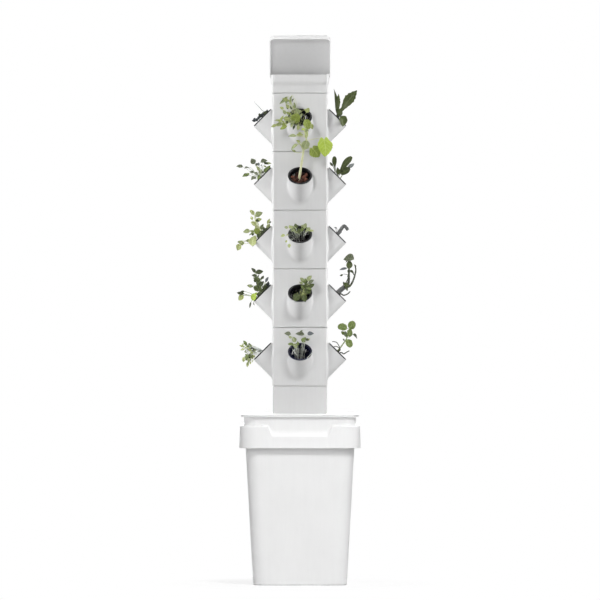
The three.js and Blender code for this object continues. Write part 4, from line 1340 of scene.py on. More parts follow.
@dataclass
class Cap(Assembly):
    """The cap, a shallow box lifted on the hinge behind the tray."""

    half: float = 68.5
    corner: float = 12.0
    foot: float = 1139.0
    height: float = 13.0
    wall: float = 2.4
    edge: float = 2.5
    lift: float = radians(41)
    knuckle_bore: float = 2.3
    notch: Pair = (23.9, 33.1)

    def build(self) -> None:
        """Builds the cap in its lifted pose."""
        low, high = self.foot, self.foot + self.height
        inner, inner_corner = self.half - self.wall, self.corner - self.wall
        mesh = square_loft([
            (inner - 8, inner_corner, high - self.wall, 0.0), (inner, inner_corner, high - self.wall, 1.6),
            (inner, inner_corner, low, 0.6), (self.half, self.corner, low, 0.8),
            (self.half, self.corner, high, self.edge * 1.3), (self.half - 8, self.corner - 2, high, 0.0),
        ], False, steps=12, soft_steps=5).mesh("cap")
        shell = joined(carved(mesh, self._notches()), self._knuckle())
        hinge = Vector((0, *self.layout.hinge))
        place = Matrix.Translation(hinge) @ Matrix.Rotation(-self.lift, 4, "X") @ Matrix.Translation(-hinge)
        # The cap takes a lighter copy of the tower's plastic: painted light on a surface in shade.
        self.shop.piece("cap", shell, [Finish.LIGHTENED_CAP], "cap", "tower_white", "top_lid", place)

    def _notches(self) -> Form:
        """Returns the two blocks that clear the hinge's ears."""
        cutter = Form()
        top = self.layout.hinge[1] + self.layout.knuckle / 2 + 0.6
        front, back = self.half - 2 * self.wall, self.half + 2
        for hand in (-1, 1):
            near, far = sorted(hand * reach for reach in self.notch)
            plan = [(near, front), (far, front), (far, back), (near, back)]
            low = [Vector((x, y, self.foot - 2)) for x, y in plan]
            cutter.solid([low, [point + Vector((0, 0, top - self.foot + 2)) for point in low]])
        return cutter

    def _knuckle(self) -> Form:
        """Returns the hinge's knuckle, a sleeve with a fillet to the back wall."""
        hinge_y, hinge_z = self.layout.hinge
        outer, inner = self.layout.knuckle / 2, self.knuckle_bore
        half = self.layout.knuckle_length / 2
        corners = [(outer, -half, 0.6), (outer, half, 0.6), (inner, half, 0.3), (inner, -half, 0.3)]
        place = Matrix.Translation((0, hinge_y, hinge_z)) @ Matrix.Rotation(QUARTER, 4, "Y")
        form = Form().take(turned(rounded_profile(corners, True), 28, loop=True), place)
        web = [
            Vector((0, self.half - 0.6, hinge_z + 1.4)), Vector((0, hinge_y - 1.5, hinge_z + 3.6)),
            Vector((0, hinge_y + 1.0, hinge_z + 4.2)), Vector((0, hinge_y - 1.0, hinge_z + 6.0)),
            Vector((0, self.half - 0.6, hinge_z + 8.0)),
        ]
        return form.solid([point + Vector((x, 0, 0)) for point in web] for x in (1.2 - half, half - 1.2))


@dataclass
class Reservoir(Assembly):
    """The bucket and the pump that stands on its floor."""

    foot_half: float = 105.5
    height: float = 381.5
    taper: float = 41.0
    wall: float = 2.4
    floor: float = 3.0
    scoop: Pair = (61.0, 74.0)
    casing: Pair = (12.3, 84.3)
    cover: Pair = (-14.0, 12.0)
    pump_width: float = 56.0
    pump_height: float = 58.0
    pump_foot: float = 10.6
    shoulder: float = 20.0
    axis: float = 37.6
    outlet_foot: float = 70.9

    def build(self) -> None:
        """Builds the bucket and the pump."""
        bucket = self._bucket()
        self.shop.piece("bucket", bucket, [Finish.BUCKET], "reservoir", "bucket_white", "reservoir_bucket")
        self._casing()
        self._cover()
        self._outlet()
        self.shop.dress("pump_shaft", Finish.CERAMIC)
        self.shop.dress("pump_feet", Finish.RUBBER)
        self.shop.dress("pump_impeller", Finish.PUMP_GREY)

    def _bucket(self) -> Form:
        """Returns the bucket: foot, tapered wall, hollow band with its scoops, neck and rim."""
        slope = self.taper / 2 / self.height

        def half(height: float) -> float:
            """Returns half the outer width of the wall at a height."""
            return self.foot_half + slope * height

        top, floor = self.height, self.floor
        rows = [
            (84.0, 16.0, 1.6, 0.0), (96.0, 20.0, 1.6, 1.0), (98.0, 21.0, 0.0, 1.0), (half(0), 28.0, 0.0, 4.5),
            (half(355), 28.0, 355.4, 2.5, 15.0), (132.15, 35.4, 352.4, 2.5, 23.0), (133.9, 35.4, 309.0, 0.8),
            (136.5, 38.0, 309.0, 1.0), (134.75, 38.0, 358.6, 3.0, 23.0), (half(360), 28.0, 360.2, 3.0, 15.0),
            (half(379), 28.0, 379.0, 0.8), (132.25, 34.0, 379.0, 0.8), (132.25, 34.0, top, 1.0),
            (half(top) - self.wall, 25.6, top, 1.0), (half(floor) - self.wall, 25.6, floor, 5.0),
            (80.0, 16.0, floor, 0.0),
        ]
        near, far = self.scoop
        bends = [blend(near - 1, far + 1, step / 10) for step in range(11)]
        stops = [-b for b in reversed(bends)] + [-45, -30, -15, 0, 15, 30, 45] + bends
        return Form().solid(
            [
                point + Vector((0, 0, knot.height - knot.dip * self._scooped(point)))
                for point in square_outline(knot.half, knot.corner, 14, stops)
            ]
            for knot in softened(rows, False, 5)
        )

    def _scooped(self, point: Vector) -> float:
        """Returns how much of the scoop's depth a point of the band takes."""
        near, far = self.scoop
        return 0.0 if abs(point.y) < abs(point.x) else 1.0 - smooth((abs(point.x) - near) / (far - near))

    def _housing(self, width: float, height: float, rows: Sequence[Pair]) -> Form:
        """Returns a housing of the pump's arched outline, standing on its foot.

        Args:
            width: its width.
            height: its height.
            rows: each row's place along Y, and how far it lies inside the outline.

        Returns:
            The housing.
        """
        foot, shoulder = self.pump_foot, self.shoulder
        outline = [Vector((-width / 2, 0, foot)), Vector((width / 2, 0, foot))]
        for middle, start in ((width / 2 - shoulder, 0), (shoulder - width / 2, 1)):
            for step in range(9):
                angle = QUARTER * (start + step / 8)
                rise = foot + height - shoulder + shoulder * sin(angle)
                outline.append(Vector((middle + shoulder * cos(angle), 0, rise)))
        centre = Vector((0, 0, foot + height / 2))
        shrunk = [(y, 1 - 2 * inset / height) for y, inset in rows]
        return Form().solid(
            [Vector((p.x * share, y, max(foot, centre.z + (p.z - centre.z) * share))) for p in outline]
            for y, share in shrunk
        )

    def _along(self, profile: Sequence[Pair]) -> Form:
        """Returns a form turned round the impeller's axis, its heights running along Y."""
        place = Matrix.Translation((0, 0, self.axis)) @ Matrix.Rotation(-QUARTER, 4, "X")
        return Form().take(turned(profile, 40), place)

    def _place(self, name: str, shape: Form | Mesh, node: str) -> None:
        """Puts one black piece of the pump into the scene."""
        self.shop.piece(name, shape, [Finish.PUMP], "reservoir", "pump_black", node)

    def _casing(self) -> None:
        """Builds the motor housing with its ribs, its bore and the cable's gland."""
        front, back = self.casing
        rows = [(front, 0.5), (front + 0.5, 0.0)]
        for rib in range(6):
            start = front + 9 + rib * 9.6
            rows += [(start, 0.0), (start + 0.4, -0.7), (start + 2.4, -0.7), (start + 2.8, 0.0)]
        rows += [(back - 2.0, 0.0), (back - 0.6, 0.5), (back, 1.8)]
        mesh = self._housing(self.pump_width, self.pump_height, rows).mesh("pump_body")
        mesh = carved(mesh, self._along([(11.6, front - 3), (11.6, 57.0)]))
        gland = [(6.0, back - 1.0, 0.0), (6.0, back + 1.0, 0.3)]
        for ridge in range(3):
            start = back + 1.4 + ridge * 2.0
            ring = ((5.0, 0.0), (5.0, 0.8), (5.7, 0.9), (5.6, 1.9))
            gland += [(radius, start + rise, 0.2) for radius, rise in ring]
        gland += [(4.6, back + 8.0, 0.5), (2.6, back + 8.0, 0.3), (2.6, back + 4.0, 0.0)]
        self._place("pump_body", joined(mesh, self._along(rounded_profile(gland, False))), "pump_casing")

    def _cover(self) -> None:
        """Builds the front cover with its chamber, its slots and the grille over its intake."""
        front, back = self.cover
        rows = [(front, 2.6), (front + 0.8, 1.0), (front + 2.6, 0.0), (back - 5, 0.0), (back - 4.6, 0.6),
                (back - 4.0, 0.6), (back - 3.6, 0.0), (back - 0.5, 0.0), (back, 0.5)]
        mesh = self._housing(self.pump_width + 4, self.pump_height + 2, rows).mesh("pump_cover")
        cutter = self._along([(23.0, front + 6), (23.0, back + 2)])
        cutter.take(self._along([(14.6, front - 1), (13.0, front + 1.2), (13.0, front + 7)]))
        mesh = carved(mesh, cutter)
        slots = Form()
        for hand in (-1, 1):
            for row in range(5):
                slots.take(self._slot(hand * 30.0, front + 11.0, self.pump_foot + 9 + 6.4 * row))
        grille = Form()
        shares = [share / 6 - 1 for share in range(13)]
        for bar in range(-2, 3):
            reach = sqrt(13.6**2 - (5 * bar) ** 2)
            path = [Vector((5.0 * bar, front + 2.4, self.axis + reach * share)) for share in shares]
            grille.take(tube(path, [0.9] * 13, 10))
        path = [Vector((13.4 * share, front + 3.2, self.axis)) for share in shares]
        grille.take(tube(path, [0.9] * 13, 10))
        for x in (-23.5, 23.5):
            for z, share in ((6, 1.0), (46, 0.86)):
                grille.take(self._screw(x * share, front, self.pump_foot + z))
        self._place("pump_cover", joined(carved(mesh, slots), grille), "pump_front_cover")

    @staticmethod
    def _slot(x: float, y: float, z: float) -> Form:
        """Returns the cutter of one water slot, a long rounded block across the cover's side."""
        ring = []
        for step in range(16):
            angle = 2 * pi * step / 16
            stretch = 6.0 if cos(angle) > 0 else -6.0
            ring.append((y + stretch + 1.3 * cos(angle), z + 1.3 * sin(angle)))
        return Form().solid([Vector((x + depth, *place)) for place in ring] for depth in (-3.4, 3.4))

    @staticmethod
    def _screw(x: float, y: float, z: float) -> Form:
        """Returns a domed screw head on the cover's front, with a socket in it."""
        corners = [
            (3.0, 1.2, 0.0), (3.0, -0.2, 0.5), (2.0, -0.7, 0.4), (1.2, -0.8, 0.1), (1.1, 0.4, 0.1),
            (0.2, 0.5, 0.0),
        ]
        place = Matrix.Translation((x, y + 0.7, z)) @ Matrix.Rotation(-QUARTER, 4, "X")
        return Form().take(turned(rounded_profile(corners, False), 18), place)

    def _outlet(self) -> None:
        """Builds the outlet: a collar and a barbed spigot for the hose."""
        foot = self.outlet_foot
        corners = [
            (4.0, foot, 0.2), (10.0, foot, 0.4), (10.0, foot + 6.6, 0.8), (7.4, foot + 8.0, 0.5),
            (5.1, foot + 8.0, 0.3),
        ]
        for ridge in range(3):
            start = foot + 11.5 + ridge * 6.6
            corners += [(5.1, start, 0.2), (5.9, start + 0.2, 0.2), (5.2, start + 4.8, 0.3)]
        corners += [(5.0, foot + 31.6, 0.3), (4.6, foot + 32.0, 0.3), (4.0, foot + 32.0, 0.3)]
        self._place("pump_barb", turned(rounded_profile(corners, True), 40, loop=True), "pump_outlet")


@dataclass
class ReservoirCover(Assembly):
    """The bucket's lid with the socket that the column stands in and the cable's hole."""

    under: float = 381.8
    top: float = 384.3
    bead: float = 0.9
    hole: float = 30.0
    hole_place: float = 98.4

    def build(self) -> None:
        """Builds the lid."""
        under, top, bead = self.under, self.top, self.top + self.bead
        rows = [
            (132.25, 34.0, top, 1.0), (127.0, 30.0, top, 0.5), (126.0, 29.0, bead, 0.5),
            (123.0, 27.0, bead, 0.5), (122.0, 26.0, top, 0.5), (80.0, 12.0, top, 0.5),
            (79.0, 11.0, bead, 0.5), (72.0, 9.0, bead, 0.5), (71.0, 8.5, top, 0.5), (61.4, 4.5, top, 0.6),
            (61.4, 4.5, 345.3, 0.4), (56.4, 4.5, 345.3, 0.4), (56.4, 4.5, 342.3, 0.4),
            (63.9, 7.0, 342.3, 0.6), (63.9, 7.0, under, 0.6),
            (120.16, 23.4, under, 0.6), (120.16, 23.4, 369.8, 0.4), (122.36, 25.6, 369.8, 0.6),
            (122.36, 25.6, under, 0.3), (132.25, 34.0, under, 0.6),
        ]
        mesh = square_loft(rows, True, 12).mesh("bucket_lid")
        radius = self.hole / 2
        drill = turned([
            (radius, under - 3), (radius, top - 0.6), (radius + 0.9, top + 0.3), (radius + 0.9, top + 4),
        ], 48)
        mesh = carved(mesh, Form().take(drill, Matrix.Translation((0, self.hole_place, 0))))
        finishes = [Finish.BUCKET]
        self.shop.piece("bucket_lid", mesh, finishes, "reservoir_cover", "bucket_white", "reservoir_lid")


@dataclass
class NetCups(Assembly):
    """The net cups: slotted baskets that hang in the pots by their lips."""

    rim: float = 24.6
    lip: float = 27.2
    foot: float = 17.0
    depth: float = 46.0
    seat: float = 0.3
    wall: float = 1.3
    lip_thickness: float = 2.2
    columns: int = 72

    def build(self) -> None:
        """Builds one cup for each pot."""
        plain = self._basket().mesh("net_cup", 50)
        dark = plain.copy()
        dark.name = "net_cup_dark"
        for pot in self.layout.pots():
            where = f"{pot.bay}_{pot.tier}"
            mesh, finish = (dark, Finish.NAVY_CUP) if where == "front_5" else (plain, Finish.CUP)
            self.shop.piece(f"cup_{where}", mesh, [finish], f"cup_{where}", "cup_black", f"net_cup_{where}",
                            pot.matrix(), evened=False)

    def _basket(self) -> Form:
        """Returns the basket with its slots, its middle ring and its lip."""
        low, wall = self.seat - self.depth, self.wall
        outer = [(0.6, low), (5.4, low), (15.4, low), (self.foot - 0.5, low)]
        inner = [(0.6, low + wall), (5.4, low + wall), (15.4, low + wall), (self.foot - 1.2, low + wall)]
        for height in (2.4, 4.0, 18.6, 19.6, 21.6, 22.6, 37.2, 39.0, 43.6):
            radius = blend(self.foot, self.rim, height / self.depth)
            proud = 0.5 if 19 < height < 22 else 0.0
            outer.append((radius + proud, low + height))
            inner.append((radius - wall, low + height))
        under, top, rim, lip = self.seat, self.seat + self.lip_thickness, self.rim, self.lip
        outer += [(rim, under - 0.5), (rim + 0.5, under), (lip - 0.5, under), (lip, under + 0.5)]
        inner += [(rim - wall, top - 0.9), (rim - wall + 0.6, top), (lip - 0.6, top), (lip, top - 0.5)]
        return self._walled(outer, inner)

    def _open(self, row: int, column: int) -> bool:
        """Returns whether a cell of the basket's grid is a slot."""
        return column % 6 < 4 if row == 1 else row in (5, 9) and column % 3 != 2

    def _walled(self, outer: Sequence[Pair], inner: Sequence[Pair]) -> Form:
        """Turns two skins and joins them round every slot.

        Args:
            outer: the outer skin's profile, as radii and heights.
            inner: the inner skin's profile, of as many points.

        Returns:
            The closed form.
        """
        form = Form()
        count, last = self.columns, len(outer) - 1
        turns = [2 * pi * i / count for i in range(count)]
        skins = [
            [form.add(Vector((r * cos(a), r * sin(a), z)) for a in turns) for r, z in skin]
            for skin in (outer, inner)
        ]
        for row in range(last):
            for now in range(count):
                after = (now + 1) % count
                if self._open(row, now):
                    continue
                a, b = skins[0][row], skins[0][row + 1]
                c, d = skins[1][row], skins[1][row + 1]
                form.face((a[now], a[after], b[after], b[now]))
                form.face((c[now], d[now], d[after], c[after]))
                if self._open(row, after):
                    form.face((a[after], c[after], d[after], b[after]))
                if self._open(row, (now - 1) % count):
                    form.face((a[now], b[now], d[now], c[now]))
                if row == 0 or self._open(row - 1, now):
                    form.face((a[now], c[now], c[after], a[after]))
                if row == last - 1 or self._open(row + 1, now):
                    form.face((b[now], b[after], d[after], d[now]))
        return form


class Blade(Enum):
    """The outlines of leaves."""

    OVATE = "ovate"
    ROUND = "round"
    SPATULA = "spatula"
    LANCE = "lance"
    HEART = "heart"
    LOBED = "lobed"
    TOOTHED = "toothed"

    def width(self, along: float) -> float:
        """Returns the share of the full width that a leaf has at a share of its length."""
        if self is Blade.ROUND:
            return sqrt(max(0.0, 1 - abs(2 * along - 1) ** 2.3))
        if self is Blade.SPATULA:
            tip = sqrt(max(0.0, 1 - max(0.0, (along - 0.72) / 0.28) ** 2))
            return (0.2 + 0.8 * smooth((along - 0.12) / 0.55)) * tip
        if self is Blade.LANCE:
            return sin(pi * along**0.7) ** 1.05
        if self is Blade.HEART:
            if along < 0.3:
                return 0.6 + 0.4 * sin(pi * along / 0.6)
            return (1 - ((along - 0.3) / 0.7) ** 1.7) ** 0.75 * (1 + 0.05 * sin(along * 40))
        if self is Blade.TOOTHED:
            tip = (1 - max(0.0, (along - 0.6) / 0.4) ** 1.6) ** 0.9
            teeth = 0.92 + 0.1 * sin(along * 44) * smooth(along * 2)
            return (0.24 + 0.76 * smooth((along - 0.05) / 0.6)) * tip * teeth
        width = sin(pi * along**0.8) ** 0.8
        if self is Blade.LOBED:
            width *= 0.86 + 0.14 * cos(6 * pi * along)
        return width


@dataclass(frozen=True)
class Leaf:
    """One leaf as it is seen from the front.

    Attributes:
        across: how far its middle lies from the mouth's middle, outwards or to the right.
        up: how far it lies above it.
        angle: the way that its tip points, in degrees up from the way of across.
        ahead: how far it lies towards the one who looks, or None for a place of its own choosing.
        cup: how far its sides curl up, as a share of its width.
        droop: how far its tip bends back, as a share of its length.
        face: how far it turns away from the one who looks, in degrees.
        stem: whether it has a stalk of its own.
    """

    across: float
    up: float
    length: float
    width: float
    angle: float
    finish: Finish
    blade: Blade = Blade.OVATE
    ahead: float | None = None
    cup: float = 0.12
    droop: float = 0.15
    face: float = 0.0
    stem: bool = True

    def base_dip(self, along: float, side: float) -> float:
        """Returns how far a heart-shaped blade's sides reach back past its base."""
        if self.blade is not Blade.HEART:
            return 0.0
        return -0.17 * self.length * sin(pi * min(abs(side), 1.0)) * max(0.0, 1 - along / 0.3)


@dataclass(frozen=True)
class Twig:
    """A bare stem or trunk through points of a pot, in a finish of its own or that of the plant's stems."""

    foot: float
    tip: float
    points: tuple[Triple, ...]
    finish: Finish | None = None


@dataclass(frozen=True)
class Plant:
    """One young plant in its cup.

    Attributes:
        stem: the finish of its stems.
        twigs: its bare stems and trunks.
        pebbles: the finish of the pebbles round its roots.
        level: how far the pebbles' tops lie below the cup's lip.
        stalk: the thickness of a leaf's stalk.
        grows: the twig that the leaves' stalks start from, or None for the pebbles.
        extra: how many small leaves fill in between the others.
    """

    stem: Finish
    leaves: tuple[Leaf, ...] = ()
    twigs: tuple[Twig, ...] = ()
    # By default the pebbles take the near-black copy of the clay, painted shade deep in the cup.
    pebbles: Finish = Finish.SHADED_CLAY
    level: float = 15.0
    stalk: float = 1.3
    grows: int | None = None
    extra: int = 0


YELLOW, LIME, BASIL, FRESH = Finish.YELLOW_GREEN, Finish.LIME, Finish.BASIL, Finish.FRESH_GREEN
GREEN, OLIVE, GREY, PALE = Finish.MID_GREEN, Finish.OLIVE, Finish.GREY_GREEN, Finish.PALE_GREEN
DARK, SLATE, INK, SILVER = Finish.DARK_GREEN, Finish.SLATE, Finish.INK, Finish.SILVER

FRONT_PLANTS = (
    Plant(Finish.PALE_STEM, (
        Leaf(-37, 38, 24, 8, 222, BASIL, ahead=26, cup=0.4, droop=0.5, face=20),
        Leaf(-33, 41, 15, 6, 160, YELLOW, ahead=27, cup=0.4, droop=0.3, face=30),
        Leaf(-21, 39, 20, 7, 250, BASIL, ahead=24, cup=0.4, droop=0.3, face=20),
        Leaf(-28, 25, 13, 7, 130, YELLOW, face=30), Leaf(-12, 25, 11, 7, 80, BASIL, face=20),
        Leaf(-31, -3, 15, 10, 170, YELLOW, cup=0.3, face=30),
        Leaf(-47, -17, 16, 9, 200, BASIL, cup=0.3, face=30),
        Leaf(-30, -13, 15, 10, 215, PALE, cup=0.2, face=20), Leaf(-18, -16, 15, 11, 240, BASIL, face=20),
        Leaf(-4, -24, 12, 8, 265, PALE, face=20), Leaf(-41, 21, 10, 7, 150, YELLOW),
        Leaf(-35, 12, 12, 8, 120, BASIL), Leaf(-59, -19, 13, 8, 186, YELLOW, droop=0.3),
        Leaf(-50, -9, 16, 10, 150, YELLOW, cup=0.4, face=40),
        Leaf(-40, -3, 15, 9, 80, YELLOW, cup=0.4, face=40), Leaf(-38, -22, 18, 11, 196, FRESH, droop=0.4),
        Leaf(-24, -7, 17, 12, 190, BASIL, face=20),
        Leaf(-9, -3, 23, 21, 262, FRESH, Blade.ROUND, 27, 0.05, 0.25),
        Leaf(17, -16, 23, 20, 300, FRESH, Blade.ROUND, 33, 0.08, 0.3), Leaf(27, -21, 13, 9, 285, YELLOW),
        Leaf(17, 16, 13, 10, 60, YELLOW, cup=0.25), Leaf(-6, 14, 15, 12, 100, BASIL),
        Leaf(-20, 5, 14, 10, 120, BASIL, face=20), Leaf(-14, -23, 12, 9, 235, DARK, face=30),
        Leaf(13, -30, 11, 7, 280, BASIL), Leaf(-26, 9, 13, 9, 140, FRESH, face=30),
        Leaf(2, 4, 12, 9, 60, BASIL, ahead=16, face=30),
    ), stalk=1.0, extra=36),
    Plant(Finish.PALE_STEM, (
        Leaf(-18, 90, 20, 8, 176, BASIL, ahead=50, droop=0.2), Leaf(0, 93, 16, 8, 8, YELLOW, ahead=55),
        Leaf(15, 93, 18, 8, 80, PALE, ahead=53), Leaf(-14, 67, 20, 10, 203, BASIL, ahead=45, droop=0.4),
        Leaf(13, 70, 20, 18, 70, BASIL, Blade.ROUND, 50, 0.12, 0.15, 10),
        Leaf(55, 62, 38, 34, -86, LIME, Blade.HEART, 56, 0.06, 0.1, 6),
        Leaf(36, 52, 25, 30, -52, FRESH, Blade.HEART, 46, 0.08, 0.15, 8),
        Leaf(-4, 78, 11, 6, 150, YELLOW, ahead=45), Leaf(8, 105, 10, 6, 20, LIME, ahead=57),
    ), (
        Twig(6.6, 1.0, (
            (-2, -6.5, 3), (3.7, 29, 22), (8.3, 59, 38), (14, 80, 47), (12, 96, 53), (7, 106, 56),
            (4, 110, 58),
        )),
        Twig(4.6, 2.0, ((-1, -2, 4), (3, 32, 23), (7, 56, 37), (1, 70, 42), (-6, 76, 44))),
    ), Finish.CLAY, 3.5, 1.8, 0, 2),
    Plant(Finish.WHITE_STEM, (
        Leaf(-31, 16.6, 8.5, 7.5, 160, BASIL), Leaf(-22, 18, 9.5, 7.5, 130, PALE),
        Leaf(-16, 15, 15, 12, 120, BASIL, face=15), Leaf(-10, 20, 12, 9, 100, OLIVE),
        Leaf(11.7, 20.5, 13, 10, 75, BASIL, cup=0.2), Leaf(19, 13, 11, 9, 40, BASIL),
        Leaf(26, 9, 11, 7.5, 5, PALE), Leaf(-38.7, -2, 11, 9, 185, PALE),
        Leaf(-31, -15, 6.5, 5.5, 210, YELLOW), Leaf(-24, -25, 9.5, 7.5, 260, PALE),
        Leaf(-3, 8, 14, 11, 80, OLIVE, ahead=15, face=20), Leaf(5, 12, 11, 7.5, 60, GREEN, ahead=16),
        Leaf(-11, 7, 12, 9, 150, BASIL, ahead=18, face=30),
    ), level=17.0, stalk=0.9, extra=8),
    Plant(Finish.PALE_STEM, (
        Leaf(5, 30.5, 15, 9, 130, BASIL), Leaf(13, 27.5, 14, 9, 95, GREEN, face=20),
        Leaf(22, 34.5, 16, 11, 60, BASIL, cup=0.3), Leaf(26, 26.5, 14, 10, 50, GREY, cup=0.2),
        Leaf(26, 17.5, 15, 11, 40, OLIVE), Leaf(15, 19.5, 15, 11, 110, OLIVE, face=10),
        Leaf(7, 13.5, 14, 9, 140, GREEN), Leaf(20, 9.5, 14, 10, 60, OLIVE),
        Leaf(16.7, 5.5, 16, 14.5, 10, OLIVE, Blade.ROUND),
        Leaf(-7.2, -8.5, 18.5, 16.5, 215, OLIVE, Blade.ROUND, 25, 0.08),
        Leaf(10.4, -10.5, 18.5, 13, 290, OLIVE, ahead=26), Leaf(22, 10.5, 11, 6.5, -20, GREEN),
    ), level=27.0, stalk=1.4, extra=12),
    Plant(Finish.WHITE_STEM, (
        Leaf(-28, 42, 15, 10, 165, GREY, cup=0.2, droop=0.3),
        Leaf(0, 42, 19.5, 13, 165, GREY, cup=0.2, droop=0.25),
        Leaf(24, 42, 15, 10, 15, SLATE, cup=0.25, droop=0.3), Leaf(-22, 34, 8.5, 6.5, 150, BASIL),
        Leaf(-13.5, 29, 14, 11, 110, BASIL), Leaf(9, 28, 14, 12, 60, GREEN),
        Leaf(-5, 20, 9.5, 6.5, 90, GREEN, face=20), Leaf(-21, 18, 13, 10, 165, GREEN),
        Leaf(-12, 15, 13, 9, 140, BASIL, face=20), Leaf(19, 29, 8.5, 4.5, 30, PALE),
    ), (
        Twig(1.7, 1.2, ((14, -16, 12), (18, -11, 17), (24, -5, 21), (26, -1, 22))),
        Twig(1.7, 1.2, ((-7, -7, 12), (-13, 1, 18), (-17, 7, 20))),
    ), level=27.0, stalk=1.0, extra=3),
)

LEFT_PLANTS = (
    Plant(Finish.DARK_STEM, (
        Leaf(20.5, -6, 9.5, 9, 10, INK, ahead=8), Leaf(4, 6, 9.5, 7.5, 100, INK, ahead=6),
        Leaf(-1, 9, 9.5, 7.5, 60, INK, ahead=12), Leaf(10, 0, 9.5, 7.5, -30, INK, ahead=12),
        Leaf(7, 5, 8.5, 7.5, 40, DARK), Leaf(-9, 15, 9.5, 6.5, 90, INK),
        Leaf(15, -5, 9.5, 7.5, -20, INK, ahead=14), Leaf(-5, 12, 9.5, 7.5, 120, DARK, ahead=14),
    ), (
        Twig(2.2, 1.3, ((-4, 11, 2), (4, 19, 3), (12, 28, 4), (20, 37, 4)), Finish.SILVER_STEM),
    ), level=5.0, stalk=1.2, extra=6),
    Plant(Finish.WHITE_STEM, (
        Leaf(53, 23, 15, 10, 10, GREY, cup=0.25), Leaf(23, 34.5, 14, 13, 60, GREY, cup=0.3),
        Leaf(-2.3, 34.5, 16, 10, 160, GREY, cup=0.3), Leaf(-12, 29.5, 13, 7.5, 170, BASIL),
        Leaf(10, 28, 7.5, 5.5, 90, SLATE), Leaf(40, 1.6, 14, 11, -5, GREEN, cup=0.25),
        Leaf(38, 21, 6.5, 4.5, 20, GREY), Leaf(25.6, 10, 11, 6.5, 10, GREY),
        Leaf(11, 17.6, 11, 7.5, 80, PALE, face=20), Leaf(16, 7, 11, 6.5, 30, GREY, ahead=12),
        Leaf(6, 11, 13, 9, 100, PALE, face=20), Leaf(23, -4, 11, 9, -40, GREY, ahead=10),
        Leaf(9, -4, 14, 11, 290, GREEN, ahead=22), Leaf(-6, 15, 13, 10, 110, GREEN, ahead=12),
        Leaf(-13, 20, 12, 9, 120, GREEN, ahead=8),
    ), level=5.0, stalk=1.2, extra=14),
    Plant(Finish.PALE_STEM, (
        Leaf(9.5, 47, 18.5, 14.5, 150, BASIL), Leaf(25, 51, 14, 9, 55, PALE, cup=0.3),
        Leaf(9.5, 33.5, 14, 10, 150, YELLOW), Leaf(21.6, 26, 14, 11, 40, PALE),
        Leaf(26, 38, 8.5, 6.5, 60, PALE), Leaf(37.4, 8, 16, 12, 0, BASIL),
        Leaf(14, 8, 16, 14.5, 60, FRESH, Blade.ROUND, face=15),
        Leaf(22, -13, 24, 20, 100, PALE, ahead=14, droop=0.2),
        Leaf(56, -28, 16, 13, 290, PALE, ahead=8, droop=0.3), Leaf(50, -17, 16, 11, 20, BASIL, ahead=8),
        Leaf(-12.4, 31, 14, 6.5, 110, PALE, cup=0.3), Leaf(-12, 19, 14, 11, 100, BASIL, ahead=10),
        Leaf(1, 3, 15, 12, 250, DARK, ahead=19), Leaf(2, 18, 15, 12, 100, OLIVE, face=25),
        Leaf(26, 2, 13, 10, -10, GREEN, face=25), Leaf(9, -3, 14, 12, 290, OLIVE, ahead=21, face=20),
        Leaf(-5, 11, 14, 11, 120, DARK, ahead=17, face=20),
    ), level=5.0, stalk=1.5, extra=16),
    Plant(Finish.GREEN_STEM, (
        Leaf(8, 48.5, 17.5, 12, 165, DARK), Leaf(21.6, 51.9, 14, 7.5, 50, DARK),
        Leaf(20, 39.5, 12, 9, 20, DARK), Leaf(14, 31.5, 18.5, 12, 30, OLIVE),
        Leaf(1, 36.1, 8.5, 6.5, 120, DARK), Leaf(30, 16.8, 13, 10, 20, BASIL),
        Leaf(14, 11.5, 15, 15.5, 60, OLIVE, Blade.ROUND, face=10), Leaf(-9, 31.5, 13, 7.5, 110, SLATE),
        Leaf(21.6, -8.5, 16, 16.5, 310, LIME, Blade.ROUND, 13, 0.1, 0.2), Leaf(51, 0.5, 17.5, 9, 15, DARK),
        Leaf(50, -10.5, 16, 13, 320, YELLOW, ahead=8),
        Leaf(29, -26.5, 14, 4.5, 285, DARK, ahead=6, droop=0.1), Leaf(3.4, 21.5, 14, 11, 120, DARK, ahead=10),
        Leaf(-6, 15.5, 16, 13, 105, DARK, face=20), Leaf(-12, 20.5, 13, 10, 85, INK, face=20),
        Leaf(1, 5.5, 16, 13, 10, DARK, ahead=14, face=25),
        Leaf(8, -4.5, 15, 13, 270, DARK, ahead=23, face=15), Leaf(12, 23.5, 13, 9, 60, DARK, face=30),
    ), level=5.0, stalk=1.6, extra=14),
    Plant(Finish.WHITE_STEM, (
        Leaf(41, 20, 13, 7.5, 60, GREEN), Leaf(48, 13, 11, 6.5, 20, PALE), Leaf(34, 11, 12, 7.5, 40, GREEN),
        Leaf(47, 5, 9.5, 6.5, -10, PALE), Leaf(38, 1, 11, 7.5, -20, BASIL),
        Leaf(37, -11, 14, 12, 300, GREEN, Blade.LOBED), Leaf(44, -18, 13, 10, 290, PALE, Blade.LOBED),
        Leaf(33, -19, 13, 9, 265, BASIL, Blade.LOBED), Leaf(35, -29, 12, 6.5, 280, PALE),
        Leaf(26, -3, 9.5, 6.5, 270, PALE), Leaf(30, 4, 9.5, 6.5, 30, YELLOW),
        Leaf(24, -13, 9.5, 6.5, 280, PALE),
    ), (
        Twig(8.0, 2.4, ((3, 1, 3), (11, 5, 4), (21, 9, 4), (31, 8, 4), (38, 3, 3)), Finish.SILVER_STEM),
        Twig(3.4, 1.8, ((6, -1, 0), (15, -1, 2), (26, -5, 3), (33, -13, 3))),
        Twig(2.4, 1.6, ((5, 4, -3), (16, 10, -2), (28, 14, 0), (40, 17, 1))),
    ), level=12.0, stalk=0.9, grows=0, extra=40),
)

